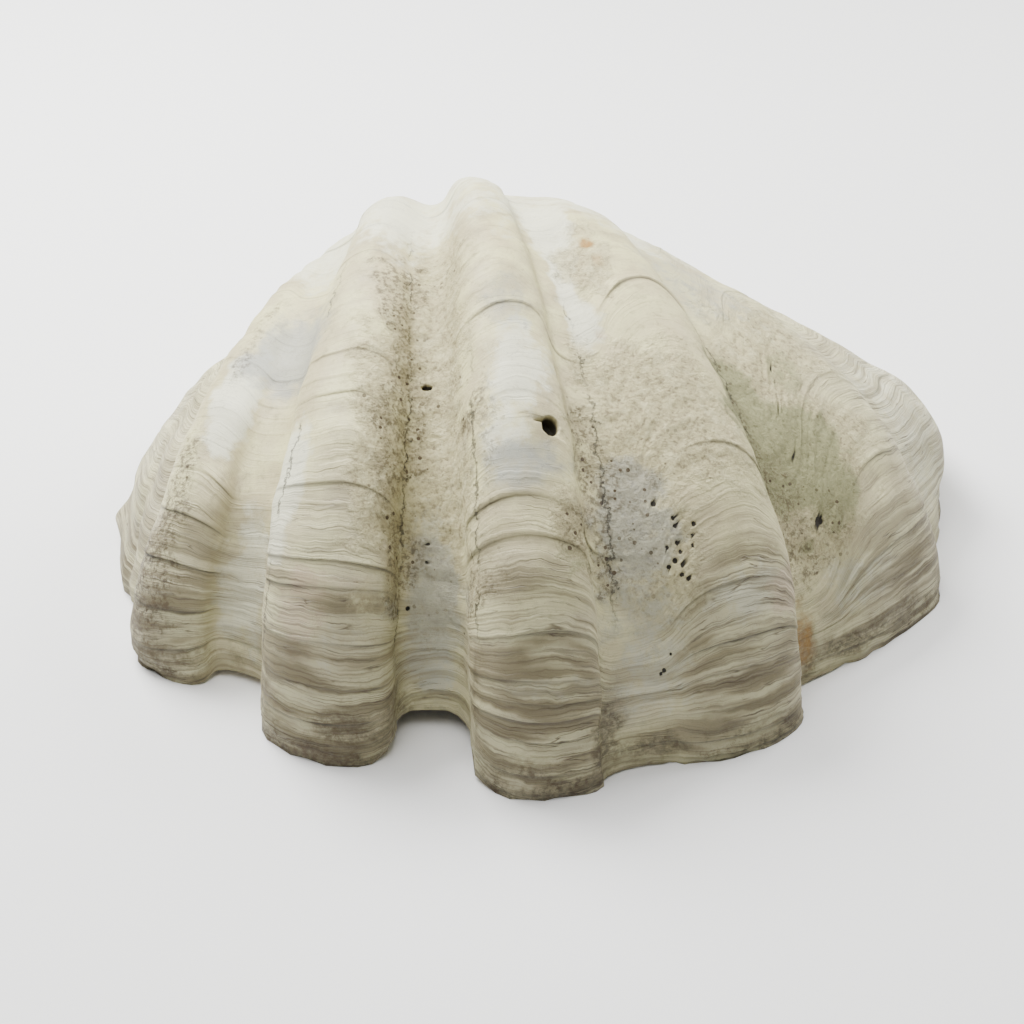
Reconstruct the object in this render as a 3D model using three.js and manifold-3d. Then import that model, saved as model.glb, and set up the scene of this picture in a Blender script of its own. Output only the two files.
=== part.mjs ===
/**
 * One valve of a giant clam, lying on its rim with the ribbed outside up.
 *
 * Millimetres, +Z up, +X to the right along the hinge, -Y towards the wavy margin.
 * The valve grew as one piece, so it is one solid. Its outside is a logarithmic spiral: the rim
 * of today, seen from above as a closed outline, is turned up and back about the hinge line and
 * shrinks as it turns, down to the beak. The hollow is a second spiral of the same growth about a
 * line further forward, and the thick shell between the two lines is the hinge plate.
 */
import * as THREE from "three";
import { ParametricGeometry } from "three/addons/geometries/ParametricGeometry.js";
import { mergeVertices } from "three/addons/utils/BufferGeometryUtils.js";
import Module from "manifold-3d";

const wasm = await Module();
wasm.setup();

// Where the beak stands in the frame of the part, so that the box of the valve is centred
const BEAK = { x: -46.6, y: 253 };
const HINGE_HEIGHT = 10;

// Growth: how fast the rim shrinks for each radian that it turns back from the ground
const RIM_TIGHTNESS = 0.14;
const DISC_TIGHTNESS = 0.69;
const BEAK_TIGHTNESS = 3.1;
const DISC_STARTS = 18.3;
const DISC_SOFTNESS = 6.1;
const BEAK_STARTS = 112;
const BEAK_SOFTNESS = 6;
const LAST_TURN = 165;

// Rim, from the left end of the hinge round the front to its right end. Each line of the shell
// leaves the beak at a bearing in degrees, 0 straight ahead and right positive, and meets the
// rim at a reach in mm. Lift is how far the rim stays above the ground there, and curl is how
// much faster than the others a line rolls back. Squareness is how upright the flank from the
// line to the next one stands, from 0 for a rolling fold to 1 for a finger, and kept is the
// share of it that is left higher up.
const RIM_LINES = [
  { line: "left hinge end", side: true, bearing: -87, reach: 200, lift: 2, curl: 1, squareness: 0, kept: 0 },
  { line: "left shoulder", side: true, bearing: -77, reach: 305, lift: 2, curl: 1, squareness: 0, kept: 0 },
  { line: "left end", side: true, bearing: -64, reach: 360, lift: 0, curl: 1, squareness: 0, kept: 0 },
  { line: "first rib", bearing: -49.5, reach: 418, lift: 0, curl: 1, squareness: 0.5, kept: 0.5 },
  { line: "first furrow", bearing: -44.5, reach: 432, lift: 4, curl: 1.02, squareness: 0.5, kept: 0.5 },
  { line: "second rib", bearing: -37.5, reach: 482, lift: -2, curl: 1.04, squareness: 0.75, kept: 0.2 },
  { line: "second furrow", bearing: -29, reach: 456, lift: 8, curl: 0.97, squareness: 0.8, kept: 0.5 },
  { line: "third rib", bearing: -17, reach: 527, lift: -2, curl: 0.97, squareness: 0.9, kept: 0.1 },
  { line: "third furrow", bearing: -7.9, reach: 476, lift: 18, curl: 0.95, squareness: 0.9, kept: 0.3 },
  { line: "middle rib", bearing: 1.4, reach: 560, lift: -2, curl: 1, squareness: 0.9, kept: 0.8 },
  { line: "fourth furrow", bearing: 9.5, reach: 542, lift: 2, curl: 1.07, squareness: 0.55, kept: 0.5 },
  { line: "fifth rib", bearing: 20.5, reach: 555, lift: -2, curl: 1.06, squareness: 0.9, kept: 0.8 },
  { line: "fifth furrow", bearing: 29, reach: 512, lift: 2, curl: 1.02, squareness: 0.3, kept: 0.5 },
  { line: "sixth rib", bearing: 44.5, reach: 524, lift: -2, curl: 1.08, squareness: 0.6, kept: 0.5 },
  { line: "sixth furrow", bearing: 52.5, reach: 488, lift: 3, curl: 0.94, squareness: 0.3, kept: 0.5 },
  { line: "last rib", bearing: 59, reach: 486, lift: -1, curl: 0.87, squareness: 0, kept: 0 },
  { line: "right end", side: true, bearing: 68, reach: 458, lift: 0, curl: 0.86, squareness: 0, kept: 0 },
  { line: "right shoulder", side: true, bearing: 79, reach: 385, lift: 2, curl: 0.95, squareness: 0, kept: 0 },
  { line: "right hinge end", side: true, bearing: 87, reach: 230, lift: 2, curl: 1, squareness: 0, kept: 0 },
];
// Turn at which a flank has softened to the squareness that is kept
const SOFTENED_BY = 45;
// How much more of each fold is rib than furrow, today and when the shell was young
const RIB_EXCESS = 0.12;
const YOUNG_EXCESS = -0.02;
const YOUNG_FROM = 100;

// Stretches where the rim stood further out than usual, or further in where the height is
// negative. Each is centred on a line, counted from the left hinge end, and on a turn, and dies
// away over some lines and degrees. Its height is in mm of the rim of today.
const SWELLINGS = [
  { line: 15.4, turn: 25, lines: 1.5, turns: 16, height: 20 },
  { line: 15.4, turn: 1, lines: 0.9, turns: 7, height: -14 },
  { line: 13.9, turn: 4, lines: 0.6, turns: 8, height: 5 },
  { line: 14.6, turn: 58, lines: 1.2, turns: 14, height: -18 },
  { line: 2.6, turn: 40, lines: 1.8, turns: 18, height: 12 },
  { line: 4.5, turn: 6, lines: 0.7, turns: 9, height: 10 },
  { line: 3.1, turn: 0, lines: 0.6, turns: 9, height: 6 },
  { line: 5.9, turn: 80, lines: 1.1, turns: 14, height: 24 },
];

// Thickness of the shell at the rim, at the ends and across the hinge plate
const RIM_THICKNESS = 14;
const HINGE_PLATE = 50;
// The shell thickens towards the hinge where the outline is less than this far ahead of it
const THICKENS_FROM = 200;
const RIM_ROUNDNESS = 3;
// The folds fade out on the inside between these turns
const FADE_STARTS = 4;
const FADE_ENDS = 60;

// Teeth under the hinge plate, which lock into the other valve and here stand on the ground
const TOOTH_HEIGHT = 12;
const TOOTH_SIDES = 16;
const HINGE_TEETH = [
  { across: -14, ahead: 40, length: 52, width: 22, turned: 28 },
  { across: 82, ahead: 32, length: 116, width: 18, turned: 4 },
  { across: -118, ahead: 36, length: 80, width: 16, turned: -5 },
];

// Middle of the outline, which the beak and the top of the hollow close on
const MIDDLE = { across: 15, ahead: 280 };

// Mesh
const STEPS_PER_LINE = 6;
const STEPS_ALONG_HINGE = 10;
const OUTSIDE_ROWS = 22;
const RIM_ROWS = 3;
const INSIDE_ROWS = 13;

const RIM_INTERVALS = RIM_LINES.length - 1;
const RIM_STEPS = RIM_INTERVALS * STEPS_PER_LINE;
const COLUMNS = RIM_STEPS + STEPS_ALONG_HINGE;
const ROWS = OUTSIDE_ROWS + RIM_ROWS + INSIDE_ROWS;

const shellFinish = new THREE.MeshStandardMaterial({ color: 0xd9d0c0, roughness: 0.75, metalness: 0 });

/** A steady rise that bends from level to one-to-one near a start, both in degrees. */
function bend(turn, start, softness) {
  const soft = (value) => softness * Math.log1p(Math.exp((value - start) / softness));
  return soft(turn) - soft(0);
}

/** Size of the rim after a turn in degrees, against its size on the ground. */
function growth(turn) {
  const disc = (DISC_TIGHTNESS - RIM_TIGHTNESS) * bend(turn, DISC_STARTS, DISC_SOFTNESS);
  const beak = (BEAK_TIGHTNESS - DISC_TIGHTNESS) * bend(turn, BEAK_STARTS, BEAK_SOFTNESS);
  return Math.exp(-THREE.MathUtils.degToRad(RIM_TIGHTNESS * turn + disc + beak));
}

/** Slope of a value at a line: level on crests and in furrows, between its neighbours elsewhere. */
function slopeAt(key, index) {
  if (index === 0 || index === RIM_INTERVALS) {
    return 0;
  }
  const before = RIM_LINES[index][key] - RIM_LINES[index - 1][key];
  const after = RIM_LINES[index + 1][key] - RIM_LINES[index][key];
  return before * after > 0 ? (2 * before * after) / (before + after) : 0;
}

/** Value of one column of the rim table between two lines. */
function along(key, index, t) {
  const t2 = t * t;
  const t3 = t2 * t;
  const fromStart = RIM_LINES[index][key] * (2 * t3 - 3 * t2 + 1);
  const fromEnd = RIM_LINES[index + 1][key] * (3 * t2 - 2 * t3);
  return fromStart + fromEnd + slopeAt(key, index) * (t3 - 2 * t2 + t) + slopeAt(key, index + 1) * (t3 - t2);
}

/** Share of the way from a crest to a furrow that is passed as the rim drops from one to the other. */
function flankShare(down, upright, youth) {
  const angle = 2 * Math.PI * down;
  const excess = THREE.MathUtils.lerp(RIB_EXCESS, YOUNG_EXCESS, youth);
  return down + (upright * Math.sin(angle)) / (2 * Math.PI) + (excess * (1 - Math.cos(angle))) / 2;
}

/** How far the swellings move the rim out at a line, counted from the left hinge end, and a turn. */
function swellingAt(line, turn) {
  const reachOf = (swelling) => {
    const away = ((line - swelling.line) / swelling.lines) ** 2 + ((turn - swelling.turn) / swelling.turns) ** 2;
    return swelling.height * Math.exp(-away);
  };
  return SWELLINGS.reduce((sum, swelling) => sum + reachOf(swelling), 0);
}

/** Rim seen from above at a step round it, as it was when the shell was at a turn in degrees. */
function rimAt(step, turn) {
  const place = THREE.MathUtils.euclideanModulo(step, COLUMNS);
  if (place > RIM_STEPS) {
    const t = (place - RIM_STEPS) / STEPS_ALONG_HINGE;
    const right = rimAt(RIM_STEPS, turn);
    const left = rimAt(0, turn);
    return {
      across: THREE.MathUtils.lerp(right.across, left.across, t),
      ahead: THREE.MathUtils.lerp(right.ahead, left.ahead, t),
      lift: THREE.MathUtils.lerp(right.lift, left.lift, t),
      curl: 1,
    };
  }
  const index = Math.min(Math.floor(place / STEPS_PER_LINE), RIM_INTERVALS - 1);
  const t = place / STEPS_PER_LINE - index;
  const start = RIM_LINES[index];
  const end = RIM_LINES[index + 1];
  let bearing = along("bearing", index, t);
  let reach = along("reach", index, t);
  if (!start.side && !end.side) {
    const ribFirst = start.reach > end.reach;
    const youth = THREE.MathUtils.smoothstep(turn, 0, YOUNG_FROM);
    const softened = THREE.MathUtils.smoothstep(turn, 0, SOFTENED_BY);
    const upright = start.squareness * THREE.MathUtils.lerp(1, start.kept, softened);
    const dropped = flankShare(ribFirst ? t : 1 - t, upright, youth);
    const share = ribFirst ? dropped : 1 - dropped;
    bearing = THREE.MathUtils.lerp(start.bearing, end.bearing, share);
    reach = THREE.MathUtils.lerp(start.reach, end.reach, (1 - Math.cos(Math.PI * t)) / 2);
  }
  reach += swellingAt(index + t, turn);
  return {
    across: reach * Math.sin(THREE.MathUtils.degToRad(bearing)),
    ahead: reach * Math.cos(THREE.MathUtils.degToRad(bearing)),
    lift: along("lift", index, t),
    curl: along("curl", index, t),
  };
}

/** How much a step round the outline belongs to the hinge (1) or to the open rim (0). */
function hingeShare(step, turn) {
  return 1 - THREE.MathUtils.smoothstep(rimAt(step, turn).ahead, 0, THICKENS_FROM);
}

/** Inner edge of the rim: the outline moved in by the thickness of the shell. */
function innerRimAt(step, turn) {
  const here = rimAt(step, turn);
  const before = rimAt(step - 0.5, turn);
  const after = rimAt(step + 0.5, turn);
  const run = new THREE.Vector2(after.across - before.across, after.ahead - before.ahead).normalize();
  const thickness = THREE.MathUtils.lerp(RIM_THICKNESS, HINGE_PLATE, hingeShare(step, turn));
  return {
    across: here.across + run.y * thickness,
    ahead: here.ahead - run.x * thickness,
    lift: here.lift,
    curl: here.curl,
  };
}

/** Inner edge with the folds evened out: each crest is averaged with the furrows beside it. */
function smoothInnerRimAt(step, turn) {
  const here = innerRimAt(step, turn);
  const left = innerRimAt(step - STEPS_PER_LINE, turn);
  const right = innerRimAt(step + STEPS_PER_LINE, turn);
  const share = hingeShare(step, turn);
  return {
    across: THREE.MathUtils.lerp((left.across + 2 * here.across + right.across) / 4, here.across, share),
    ahead: THREE.MathUtils.lerp((left.ahead + 2 * here.ahead + right.ahead) / 4, here.ahead, share),
    lift: here.lift,
    curl: here.curl,
  };
}

/** Point of a spiral: an outline point turned back about the line that lies a distance ahead. */
function spiral(point, turn, axisAhead, target) {
  const size = growth(turn) ** point.curl;
  const lever = (point.ahead - axisAhead) * size;
  const angle = THREE.MathUtils.degToRad(turn);
  target.set(
    BEAK.x + point.across * size,
    BEAK.y - axisAhead - lever * Math.cos(angle),
    HINGE_HEIGHT + lever * Math.sin(angle),
  );
}

/** Turn in degrees at which a line reaches the height of its rim. */
function firstTurn(point, axisAhead) {
  const lever = Math.max(point.ahead - axisAhead, 60);
  return THREE.MathUtils.radToDeg(Math.asin((point.lift - HINGE_HEIGHT) / lever));
}

/** Turn in degrees of a row that lies a share of the way from the rim to the end of a spiral. */
function turnAt(step, share, axisAhead) {
  const edge = axisAhead > 0 ? innerRimAt(step, 0) : rimAt(step, 0);
  return THREE.MathUtils.lerp(firstTurn(edge, axisAhead), LAST_TURN, share);
}

/** Point of the outside, a share of the way from the rim (0) to the beak (1). */
function outside(step, share, target) {
  const turn = turnAt(step, share, 0);
  spiral(rimAt(step, turn), turn, 0, target);
}

/** Point of the inside, a share of the way from the rim (0) to the top of the hollow (1). */
function inside(step, share, target) {
  const turn = turnAt(step, share, HINGE_PLATE);
  const fade = THREE.MathUtils.smoothstep(turn, FADE_STARTS, FADE_ENDS);
  const folded = innerRimAt(step, turn);
  const smooth = smoothInnerRimAt(step, turn);
  const faded = {
    across: THREE.MathUtils.lerp(folded.across, smooth.across, fade),
    ahead: THREE.MathUtils.lerp(folded.ahead, smooth.ahead, fade),
    curl: THREE.MathUtils.lerp(folded.curl, 1, fade),
  };
  spiral(faded, turn, HINGE_PLATE, target);
}

/** The whole skin, from the beak over the outside, round the rim and up into the hollow. */
function skin(u, v, target) {
  const step = (1 - u) * COLUMNS;
  const row = Math.round(v * ROWS);
  if (row === 0) {
    spiral({ ...MIDDLE, curl: 1 }, LAST_TURN, 0, target);
  } else if (row <= OUTSIDE_ROWS) {
    outside(step, 1 - (row - 1) / (OUTSIDE_ROWS - 1), target);
  } else if (row < OUTSIDE_ROWS + RIM_ROWS) {
    const t = (row - OUTSIDE_ROWS) / RIM_ROWS;
    const innerEdge = new THREE.Vector3();
    outside(step, 0, target);
    inside(step, 0, innerEdge);
    target.lerp(innerEdge, t);
    target.z -= RIM_ROUNDNESS * Math.sin(Math.PI * t);
  } else if (row < ROWS) {
    inside(step, (row - OUTSIDE_ROWS - RIM_ROWS) / (INSIDE_ROWS - 1), target);
  } else {
    spiral({ ...MIDDLE, ahead: MIDDLE.ahead + HINGE_PLATE, curl: 1 }, LAST_TURN, HINGE_PLATE, target);
  }
}

/** Closed solid of a skin whose seam and poles are drawn together. */
function solidOf(geometry) {
  geometry.deleteAttribute("normal");
  geometry.deleteAttribute("uv");
  const merged = mergeVertices(geometry, 1e-3);
  const corners = merged.getIndex().array;
  const triangles = [];
  for (let i = 0; i < corners.length; i += 3) {
    const [a, b, c] = corners.slice(i, i + 3);
    if (a !== b && b !== c && c !== a) {
      triangles.push(a, b, c);
    }
  }
  return new wasm.Manifold(
    new wasm.Mesh({
      numProp: 3,
      vertProperties: new Float32Array(merged.getAttribute("position").array),
      triVerts: new Uint32Array(triangles),
    }),
  );
}

/** Named mesh of a solid. */
function meshOf(name, solid, material) {
  const { vertProperties, triVerts } = solid.getMesh();
  const geometry = new THREE.BufferGeometry();
  geometry.setAttribute("position", new THREE.BufferAttribute(vertProperties, 3));
  geometry.setIndex(new THREE.BufferAttribute(triVerts, 1));
  geometry.computeVertexNormals();
  const mesh = new THREE.Mesh(geometry, material);
  mesh.name = name;
  return mesh;
}

/** One long rounded tooth on the underside of the hinge plate. */
function toothSolid({ across, ahead, length, width, turned }) {
  const tooth = new THREE.SphereGeometry(1, TOOTH_SIDES, TOOTH_SIDES / 2);
  tooth.scale(length / 2, width / 2, TOOTH_HEIGHT);
  tooth.rotateZ(THREE.MathUtils.degToRad(turned));
  tooth.translate(BEAK.x + across, BEAK.y - ahead, HINGE_HEIGHT);
  return solidOf(tooth);
}

/** The space above the ground, which the rib tips are worn flat against. */
function aboveGround() {
  const size = 1200;
  const box = new THREE.BoxGeometry(size, size, size);
  box.translate(0, 0, size / 2);
  return solidOf(box);
}

/** The valve as grown, with its hinge teeth, before it is stood on the ground. */
function grownValve() {
  const shell = solidOf(new ParametricGeometry(skin, COLUMNS, ROWS));
  return HINGE_TEETH.map(toothSolid).reduce((valve, tooth) => valve.add(tooth), shell);
}

const valve = grownValve().intersect(aboveGround());

const clam = new THREE.Group();
clam.add(meshOf("clam_valve", valve, shellFinish));

export default clam;
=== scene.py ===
"""Looks of one giant clam valve that lies on its rim, ribbed side up.

The valve is a single grown piece, so it is one mesh. Its rows are growth lines, from the rim to
the beak, and its columns run across the folds. Sizes of the shell are in millimetres and turns
and bearings in degrees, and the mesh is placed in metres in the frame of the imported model.
"""
import logging
import math
from dataclasses import dataclass, field, replace
from enum import Enum

import bmesh
import bpy
import numpy as np
from bpy.types import Material, Node, NodeSocket, NodeTree, Object
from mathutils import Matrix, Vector, noise
from mathutils.kdtree import KDTree


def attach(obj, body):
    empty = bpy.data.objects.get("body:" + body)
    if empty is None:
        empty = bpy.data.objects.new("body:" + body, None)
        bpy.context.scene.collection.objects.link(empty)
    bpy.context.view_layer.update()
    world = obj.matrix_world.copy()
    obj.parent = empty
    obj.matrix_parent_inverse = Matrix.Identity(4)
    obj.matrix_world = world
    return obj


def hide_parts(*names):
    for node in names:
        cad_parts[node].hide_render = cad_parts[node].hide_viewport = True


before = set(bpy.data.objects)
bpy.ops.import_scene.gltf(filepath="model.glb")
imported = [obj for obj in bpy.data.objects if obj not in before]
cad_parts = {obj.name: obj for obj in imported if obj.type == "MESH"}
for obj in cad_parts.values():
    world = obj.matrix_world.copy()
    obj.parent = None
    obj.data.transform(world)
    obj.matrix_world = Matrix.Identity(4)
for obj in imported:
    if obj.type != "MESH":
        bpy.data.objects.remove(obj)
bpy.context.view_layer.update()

LOG = logging.getLogger("clam")
MM = 0.001
SAME_POINT = 0.02
NODE = "clam_valve"


def smoothstep(value: np.ndarray | float, low: float, high: float) -> np.ndarray:
    """Rises smoothly from 0 at low to 1 at high.

    Args:
        value: What is compared with the two limits.
        low: Where the rise starts.
        high: Where it ends.

    Returns:
        The share of the rise that is passed, from 0 to 1.
    """
    share = np.clip((np.asarray(value, dtype=float) - low) / (high - low), 0.0, 1.0)
    return share * share * (3.0 - 2.0 * share)


def blend(start: np.ndarray | float, end: np.ndarray | float, share: np.ndarray | float) -> np.ndarray:
    """Value that lies a share of the way from start to end."""
    return start + (end - start) * share


def rough_field(points: np.ndarray, size: float, octaves: int, seed: float) -> np.ndarray:
    """Fractal noise over a set of points, the same on each run.

    Args:
        points: Array of points whose last axis holds x, y and z.
        size: Size of the largest lumps, in the units of the points.
        octaves: Number of finer layers, each half the size of the last.
        seed: Shifts the pattern, so that two fields differ.

    Returns:
        Array of values around 0, mostly within 1 of it.
    """
    flat = points.reshape(-1, 3) / size + seed
    values = [noise.fractal(point, 1.0, 2.0, octaves) for point in flat.tolist()]
    return np.array(values).reshape(points.shape[:-1])


@dataclass(frozen=True)
class RimLine:
    """Crest or furrow of the shell, where it meets the rim.

    Bearing is seen from the beak, 0 straight ahead and right positive. Reach is the distance
    from the beak, lift the height of the rim above the ground, and curl how much faster than
    the others the line rolls back. Squareness is how upright the flank from this line to the
    next one stands, from 0 for a rolling fold to 1 for a finger, and kept is the share of it that
    is left higher up. Lead is how many degrees nearer to the rim than on the crests the growth
    lines run. Side lines lie beyond the folds.
    """

    name: str
    bearing: float
    reach: float
    lift: float
    curl: float
    squareness: float = 0.0
    kept: float = 0.5
    lead: float = 0.0
    side: bool = False


RIM_LINES: tuple[RimLine, ...] = (
    RimLine("left hinge end", -87, 200, 2, 1, side=True),
    RimLine("left shoulder", -77, 305, 2, 1, side=True),
    RimLine("left end", -64, 360, 0, 1, side=True),
    RimLine("first rib", -49.5, 418, 0, 1, squareness=0.5),
    RimLine("first furrow", -44.5, 432, 4, 1.02, squareness=0.5, lead=4),
    RimLine("second rib", -37.5, 482, -2, 1.04, squareness=0.75, kept=0.2),
    RimLine("second furrow", -29, 456, 8, 0.97, squareness=0.8, lead=5),
    RimLine("third rib", -17, 527, -2, 0.97, squareness=0.9, kept=0.1),
    RimLine("third furrow", -7.9, 476, 18, 0.95, squareness=0.9, kept=0.3, lead=8),
    RimLine("middle rib", 1.4, 560, -2, 1, squareness=0.9, kept=0.8),
    RimLine("fourth furrow", 9.5, 542, 2, 1.07, squareness=0.55, lead=7),
    RimLine("fifth rib", 20.5, 555, -2, 1.06, squareness=0.9, kept=0.8),
    RimLine("fifth furrow", 29, 512, 2, 1.02, squareness=0.3, lead=13),
    RimLine("sixth rib", 44.5, 524, -2, 1.08, squareness=0.6),
    RimLine("sixth furrow", 52.5, 488, 3, 0.94, squareness=0.3, lead=4),
    RimLine("last rib", 59, 486, -1, 0.87),
    RimLine("right end", 68, 458, 0, 0.86, side=True),
    RimLine("right shoulder", 79, 385, 2, 0.95, side=True),
    RimLine("right hinge end", 87, 230, 2, 1, side=True),
)


@dataclass(frozen=True)
class Swelling:
    """Stretch where the rim stood further out than usual, or further in if its height is negative.

    It is centred on a place and a turn, and dies away over a reach of places and of degrees.
    Its height is in mm of the rim of today.
    """

    place: float
    turn: float
    places: float
    turns: float
    height: float


SWELLINGS: tuple[Swelling, ...] = (
    Swelling(15.4, 25, 1.5, 16, 20),
    Swelling(15.4, 1, 0.9, 7, -14),
    Swelling(13.9, 4, 0.6, 8, 5),
    Swelling(14.6, 58, 1.2, 14, -18),
    Swelling(2.6, 40, 1.8, 18, 12),
    Swelling(4.5, 6, 0.7, 9, 10),
    Swelling(3.1, 0, 0.6, 9, 6),
    Swelling(5.9, 80, 1.1, 14, 24),
)


@dataclass(frozen=True)
class Outline:
    """Rim seen from above at some places round it: across and ahead of the beak, and its lift and curl."""

    across: np.ndarray
    ahead: np.ndarray
    lift: np.ndarray
    curl: np.ndarray


@dataclass(frozen=True)
class ShellForm:
    """Spiral growth of the valve, with the sizes of the solid.

    A place counts rim lines from the left end of the hinge round the front to its right end, and
    goes on along the hinge until it comes round to the left end again.
    """

    beak_across: float = -46.6
    beak_behind: float = 253.0
    hinge_height: float = 10.0
    rim_tightness: float = 0.14
    disc_tightness: float = 0.69
    beak_tightness: float = 3.1
    disc_starts: float = 18.3
    disc_softness: float = 6.1
    beak_starts: float = 112.0
    beak_softness: float = 6.0
    last_turn: float = 165.0
    softened_by: float = 45.0
    rib_excess: float = 0.12
    young_excess: float = -0.02
    young_from: float = 100.0
    rim_thickness: float = 14.0
    hinge_plate: float = 50.0
    thickens_from: float = 200.0
    rim_roundness: float = 3.0
    fade_starts: float = 4.0
    fade_ends: float = 60.0
    middle_across: float = 15.0
    middle_ahead: float = 280.0
    hinge_places: float = 10.0 / 6.0
    lead_grows_to: float = 26.0
    lead_fades_from: float = 60.0
    lead_ends: float = 110.0

    @property
    def intervals(self) -> int:
        """Number of stretches between the lines of the rim."""
        return len(RIM_LINES) - 1

    @property
    def places(self) -> float:
        """Number of places once round the outline."""
        return self.intervals + self.hinge_places

    def growth(self, turn: np.ndarray) -> np.ndarray:
        """Size of the rim after a turn, against its size on the ground.

        Args:
            turn: Degrees of turn.

        Returns:
            The size, 1 for the rim of today.
        """

        def bend(start: float, softness: float) -> np.ndarray:
            """Rise that bends from level to one-to-one near a start."""
            risen = np.logaddexp(0, (turn - start) / softness) - np.logaddexp(0, -start / softness)
            return softness * risen

        disc = (self.disc_tightness - self.rim_tightness) * bend(self.disc_starts, self.disc_softness)
        beak = (self.beak_tightness - self.disc_tightness) * bend(self.beak_starts, self.beak_softness)
        return np.exp(-np.radians(self.rim_tightness * turn + disc + beak))

    def along(self, key: str, index: np.ndarray, share: np.ndarray) -> np.ndarray:
        """Value of a rim line field between two lines, level where the field turns.

        Args:
            key: Name of the field.
            index: Line at the start of each stretch.
            share: How far along its stretch each place is.

        Returns:
            The value at each place.
        """
        values = np.array([float(getattr(line, key)) for line in RIM_LINES])
        steps = np.diff(values)
        slopes = np.zeros_like(values)
        rising = steps[:-1] * steps[1:] > 0
        before, after = steps[:-1][rising], steps[1:][rising]
        slopes[1:-1][rising] = 2 * before * after / (before + after)
        square, cube = share**2, share**3
        ends = values[index] * (2 * cube - 3 * square + 1) + values[index + 1] * (3 * square - 2 * cube)
        return ends + slopes[index] * (cube - 2 * square + share) + slopes[index + 1] * (cube - square)

    def flank_share(self, down: np.ndarray, youth: np.ndarray, upright: np.ndarray) -> np.ndarray:
        """Share of the way from a crest to a furrow that is passed as the rim drops to it.

        Args:
            down: Share of the flank that lies above each place.
            youth: How young the shell was, from 0 for today to 1.
            upright: How upright each flank stands.

        Returns:
            The share of the difference in bearing that is passed.
        """
        angle = 2 * np.pi * down
        excess = blend(self.rib_excess, self.young_excess, youth)
        return down + upright * np.sin(angle) / (2 * np.pi) + excess * (1 - np.cos(angle)) / 2

    def rim(self, place: np.ndarray, turn: np.ndarray) -> Outline:
        """Outer outline as it was when the shell was at a turn.

        Args:
            place: Places round the outline.
            turn: Turn at each place.

        Returns:
            The outline at those places.
        """
        place, turn = np.broadcast_arrays(np.mod(place, self.places), turn)
        index = np.minimum(place, self.intervals - 1e-9).astype(int)
        share = np.minimum(place, self.intervals) - index
        side = np.array([line.side for line in RIM_LINES])
        reaches = np.array([line.reach for line in RIM_LINES], dtype=float)
        bearings = np.array([line.bearing for line in RIM_LINES], dtype=float)
        folded = ~side[index] & ~side[index + 1]
        youth = smoothstep(turn, 0, self.young_from)
        squareness = np.array([line.squareness for line in RIM_LINES])[index]
        kept = np.array([line.kept for line in RIM_LINES])[index]
        upright = squareness * blend(1.0, kept, smoothstep(turn, 0, self.softened_by))
        from_rib = self.flank_share(share, youth, upright)
        to_rib = 1 - self.flank_share(1 - share, youth, upright)
        across_flank = np.where(reaches[index] > reaches[index + 1], from_rib, to_rib)
        bearing = np.where(
            folded,
            blend(bearings[index], bearings[index + 1], across_flank),
            self.along("bearing", index, share),
        )
        reach = np.where(
            folded,
            blend(reaches[index], reaches[index + 1], (1 - np.cos(np.pi * share)) / 2),
            self.along("reach", index, share),
        )
        for swelling in SWELLINGS:
            away = ((index + share - swelling.place) / swelling.places) ** 2
            away = away + ((turn - swelling.turn) / swelling.turns) ** 2
            reach = reach + swelling.height * np.exp(-away)
        across = reach * np.sin(np.radians(bearing))
        ahead = reach * np.cos(np.radians(bearing))
        curl = self.along("curl", index, share)
        first = RIM_LINES[0]
        home = np.radians(first.bearing)
        on_hinge = place > self.intervals
        back = np.where(on_hinge, (place - self.intervals) / self.hinge_places, 0.0)
        across = blend(across, first.reach * np.sin(home), back)
        ahead = blend(ahead, first.reach * np.cos(home), back)
        return Outline(across, ahead, self.along("lift", index, share), np.where(on_hinge, 1.0, curl))

    def hinge_share(self, place: np.ndarray, turn: np.ndarray) -> np.ndarray:
        """How much each place belongs to the hinge (1) or to the open rim (0)."""
        return 1 - smoothstep(self.rim(place, turn).ahead, 0, self.thickens_from)

    def inner_rim(self, place: np.ndarray, turn: np.ndarray) -> Outline:
        """Inner edge of the rim: the outline moved in by the thickness of the shell.

        Args:
            place: Places round the outline.
            turn: Turn at each place.

        Returns:
            The inner outline at those places.
        """
        reach_of_slope = 1.0 / 12.0
        here = self.rim(place, turn)
        before = self.rim(place - reach_of_slope, turn)
        after = self.rim(place + reach_of_slope, turn)
        run_across, run_ahead = after.across - before.across, after.ahead - before.ahead
        length = np.hypot(run_across, run_ahead)
        thickness = blend(self.rim_thickness, self.hinge_plate, self.hinge_share(place, turn))
        across = here.across + run_ahead / length * thickness
        ahead = here.ahead - run_across / length * thickness
        return Outline(across, ahead, here.lift, here.curl)

    def smooth_inner_rim(self, place: np.ndarray, turn: np.ndarray) -> Outline:
        """Inner edge with the folds evened out: each crest is averaged with the furrows beside it.

        Args:
            place: Places round the outline.
            turn: Turn at each place.

        Returns:
            The evened inner outline at those places.
        """
        here = self.inner_rim(place, turn)
        left = self.inner_rim(place - 1, turn)
        right = self.inner_rim(place + 1, turn)
        share = self.hinge_share(place, turn)
        across = blend((left.across + 2 * here.across + right.across) / 4, here.across, share)
        ahead = blend((left.ahead + 2 * here.ahead + right.ahead) / 4, here.ahead, share)
        return Outline(across, ahead, here.lift, here.curl)

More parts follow.
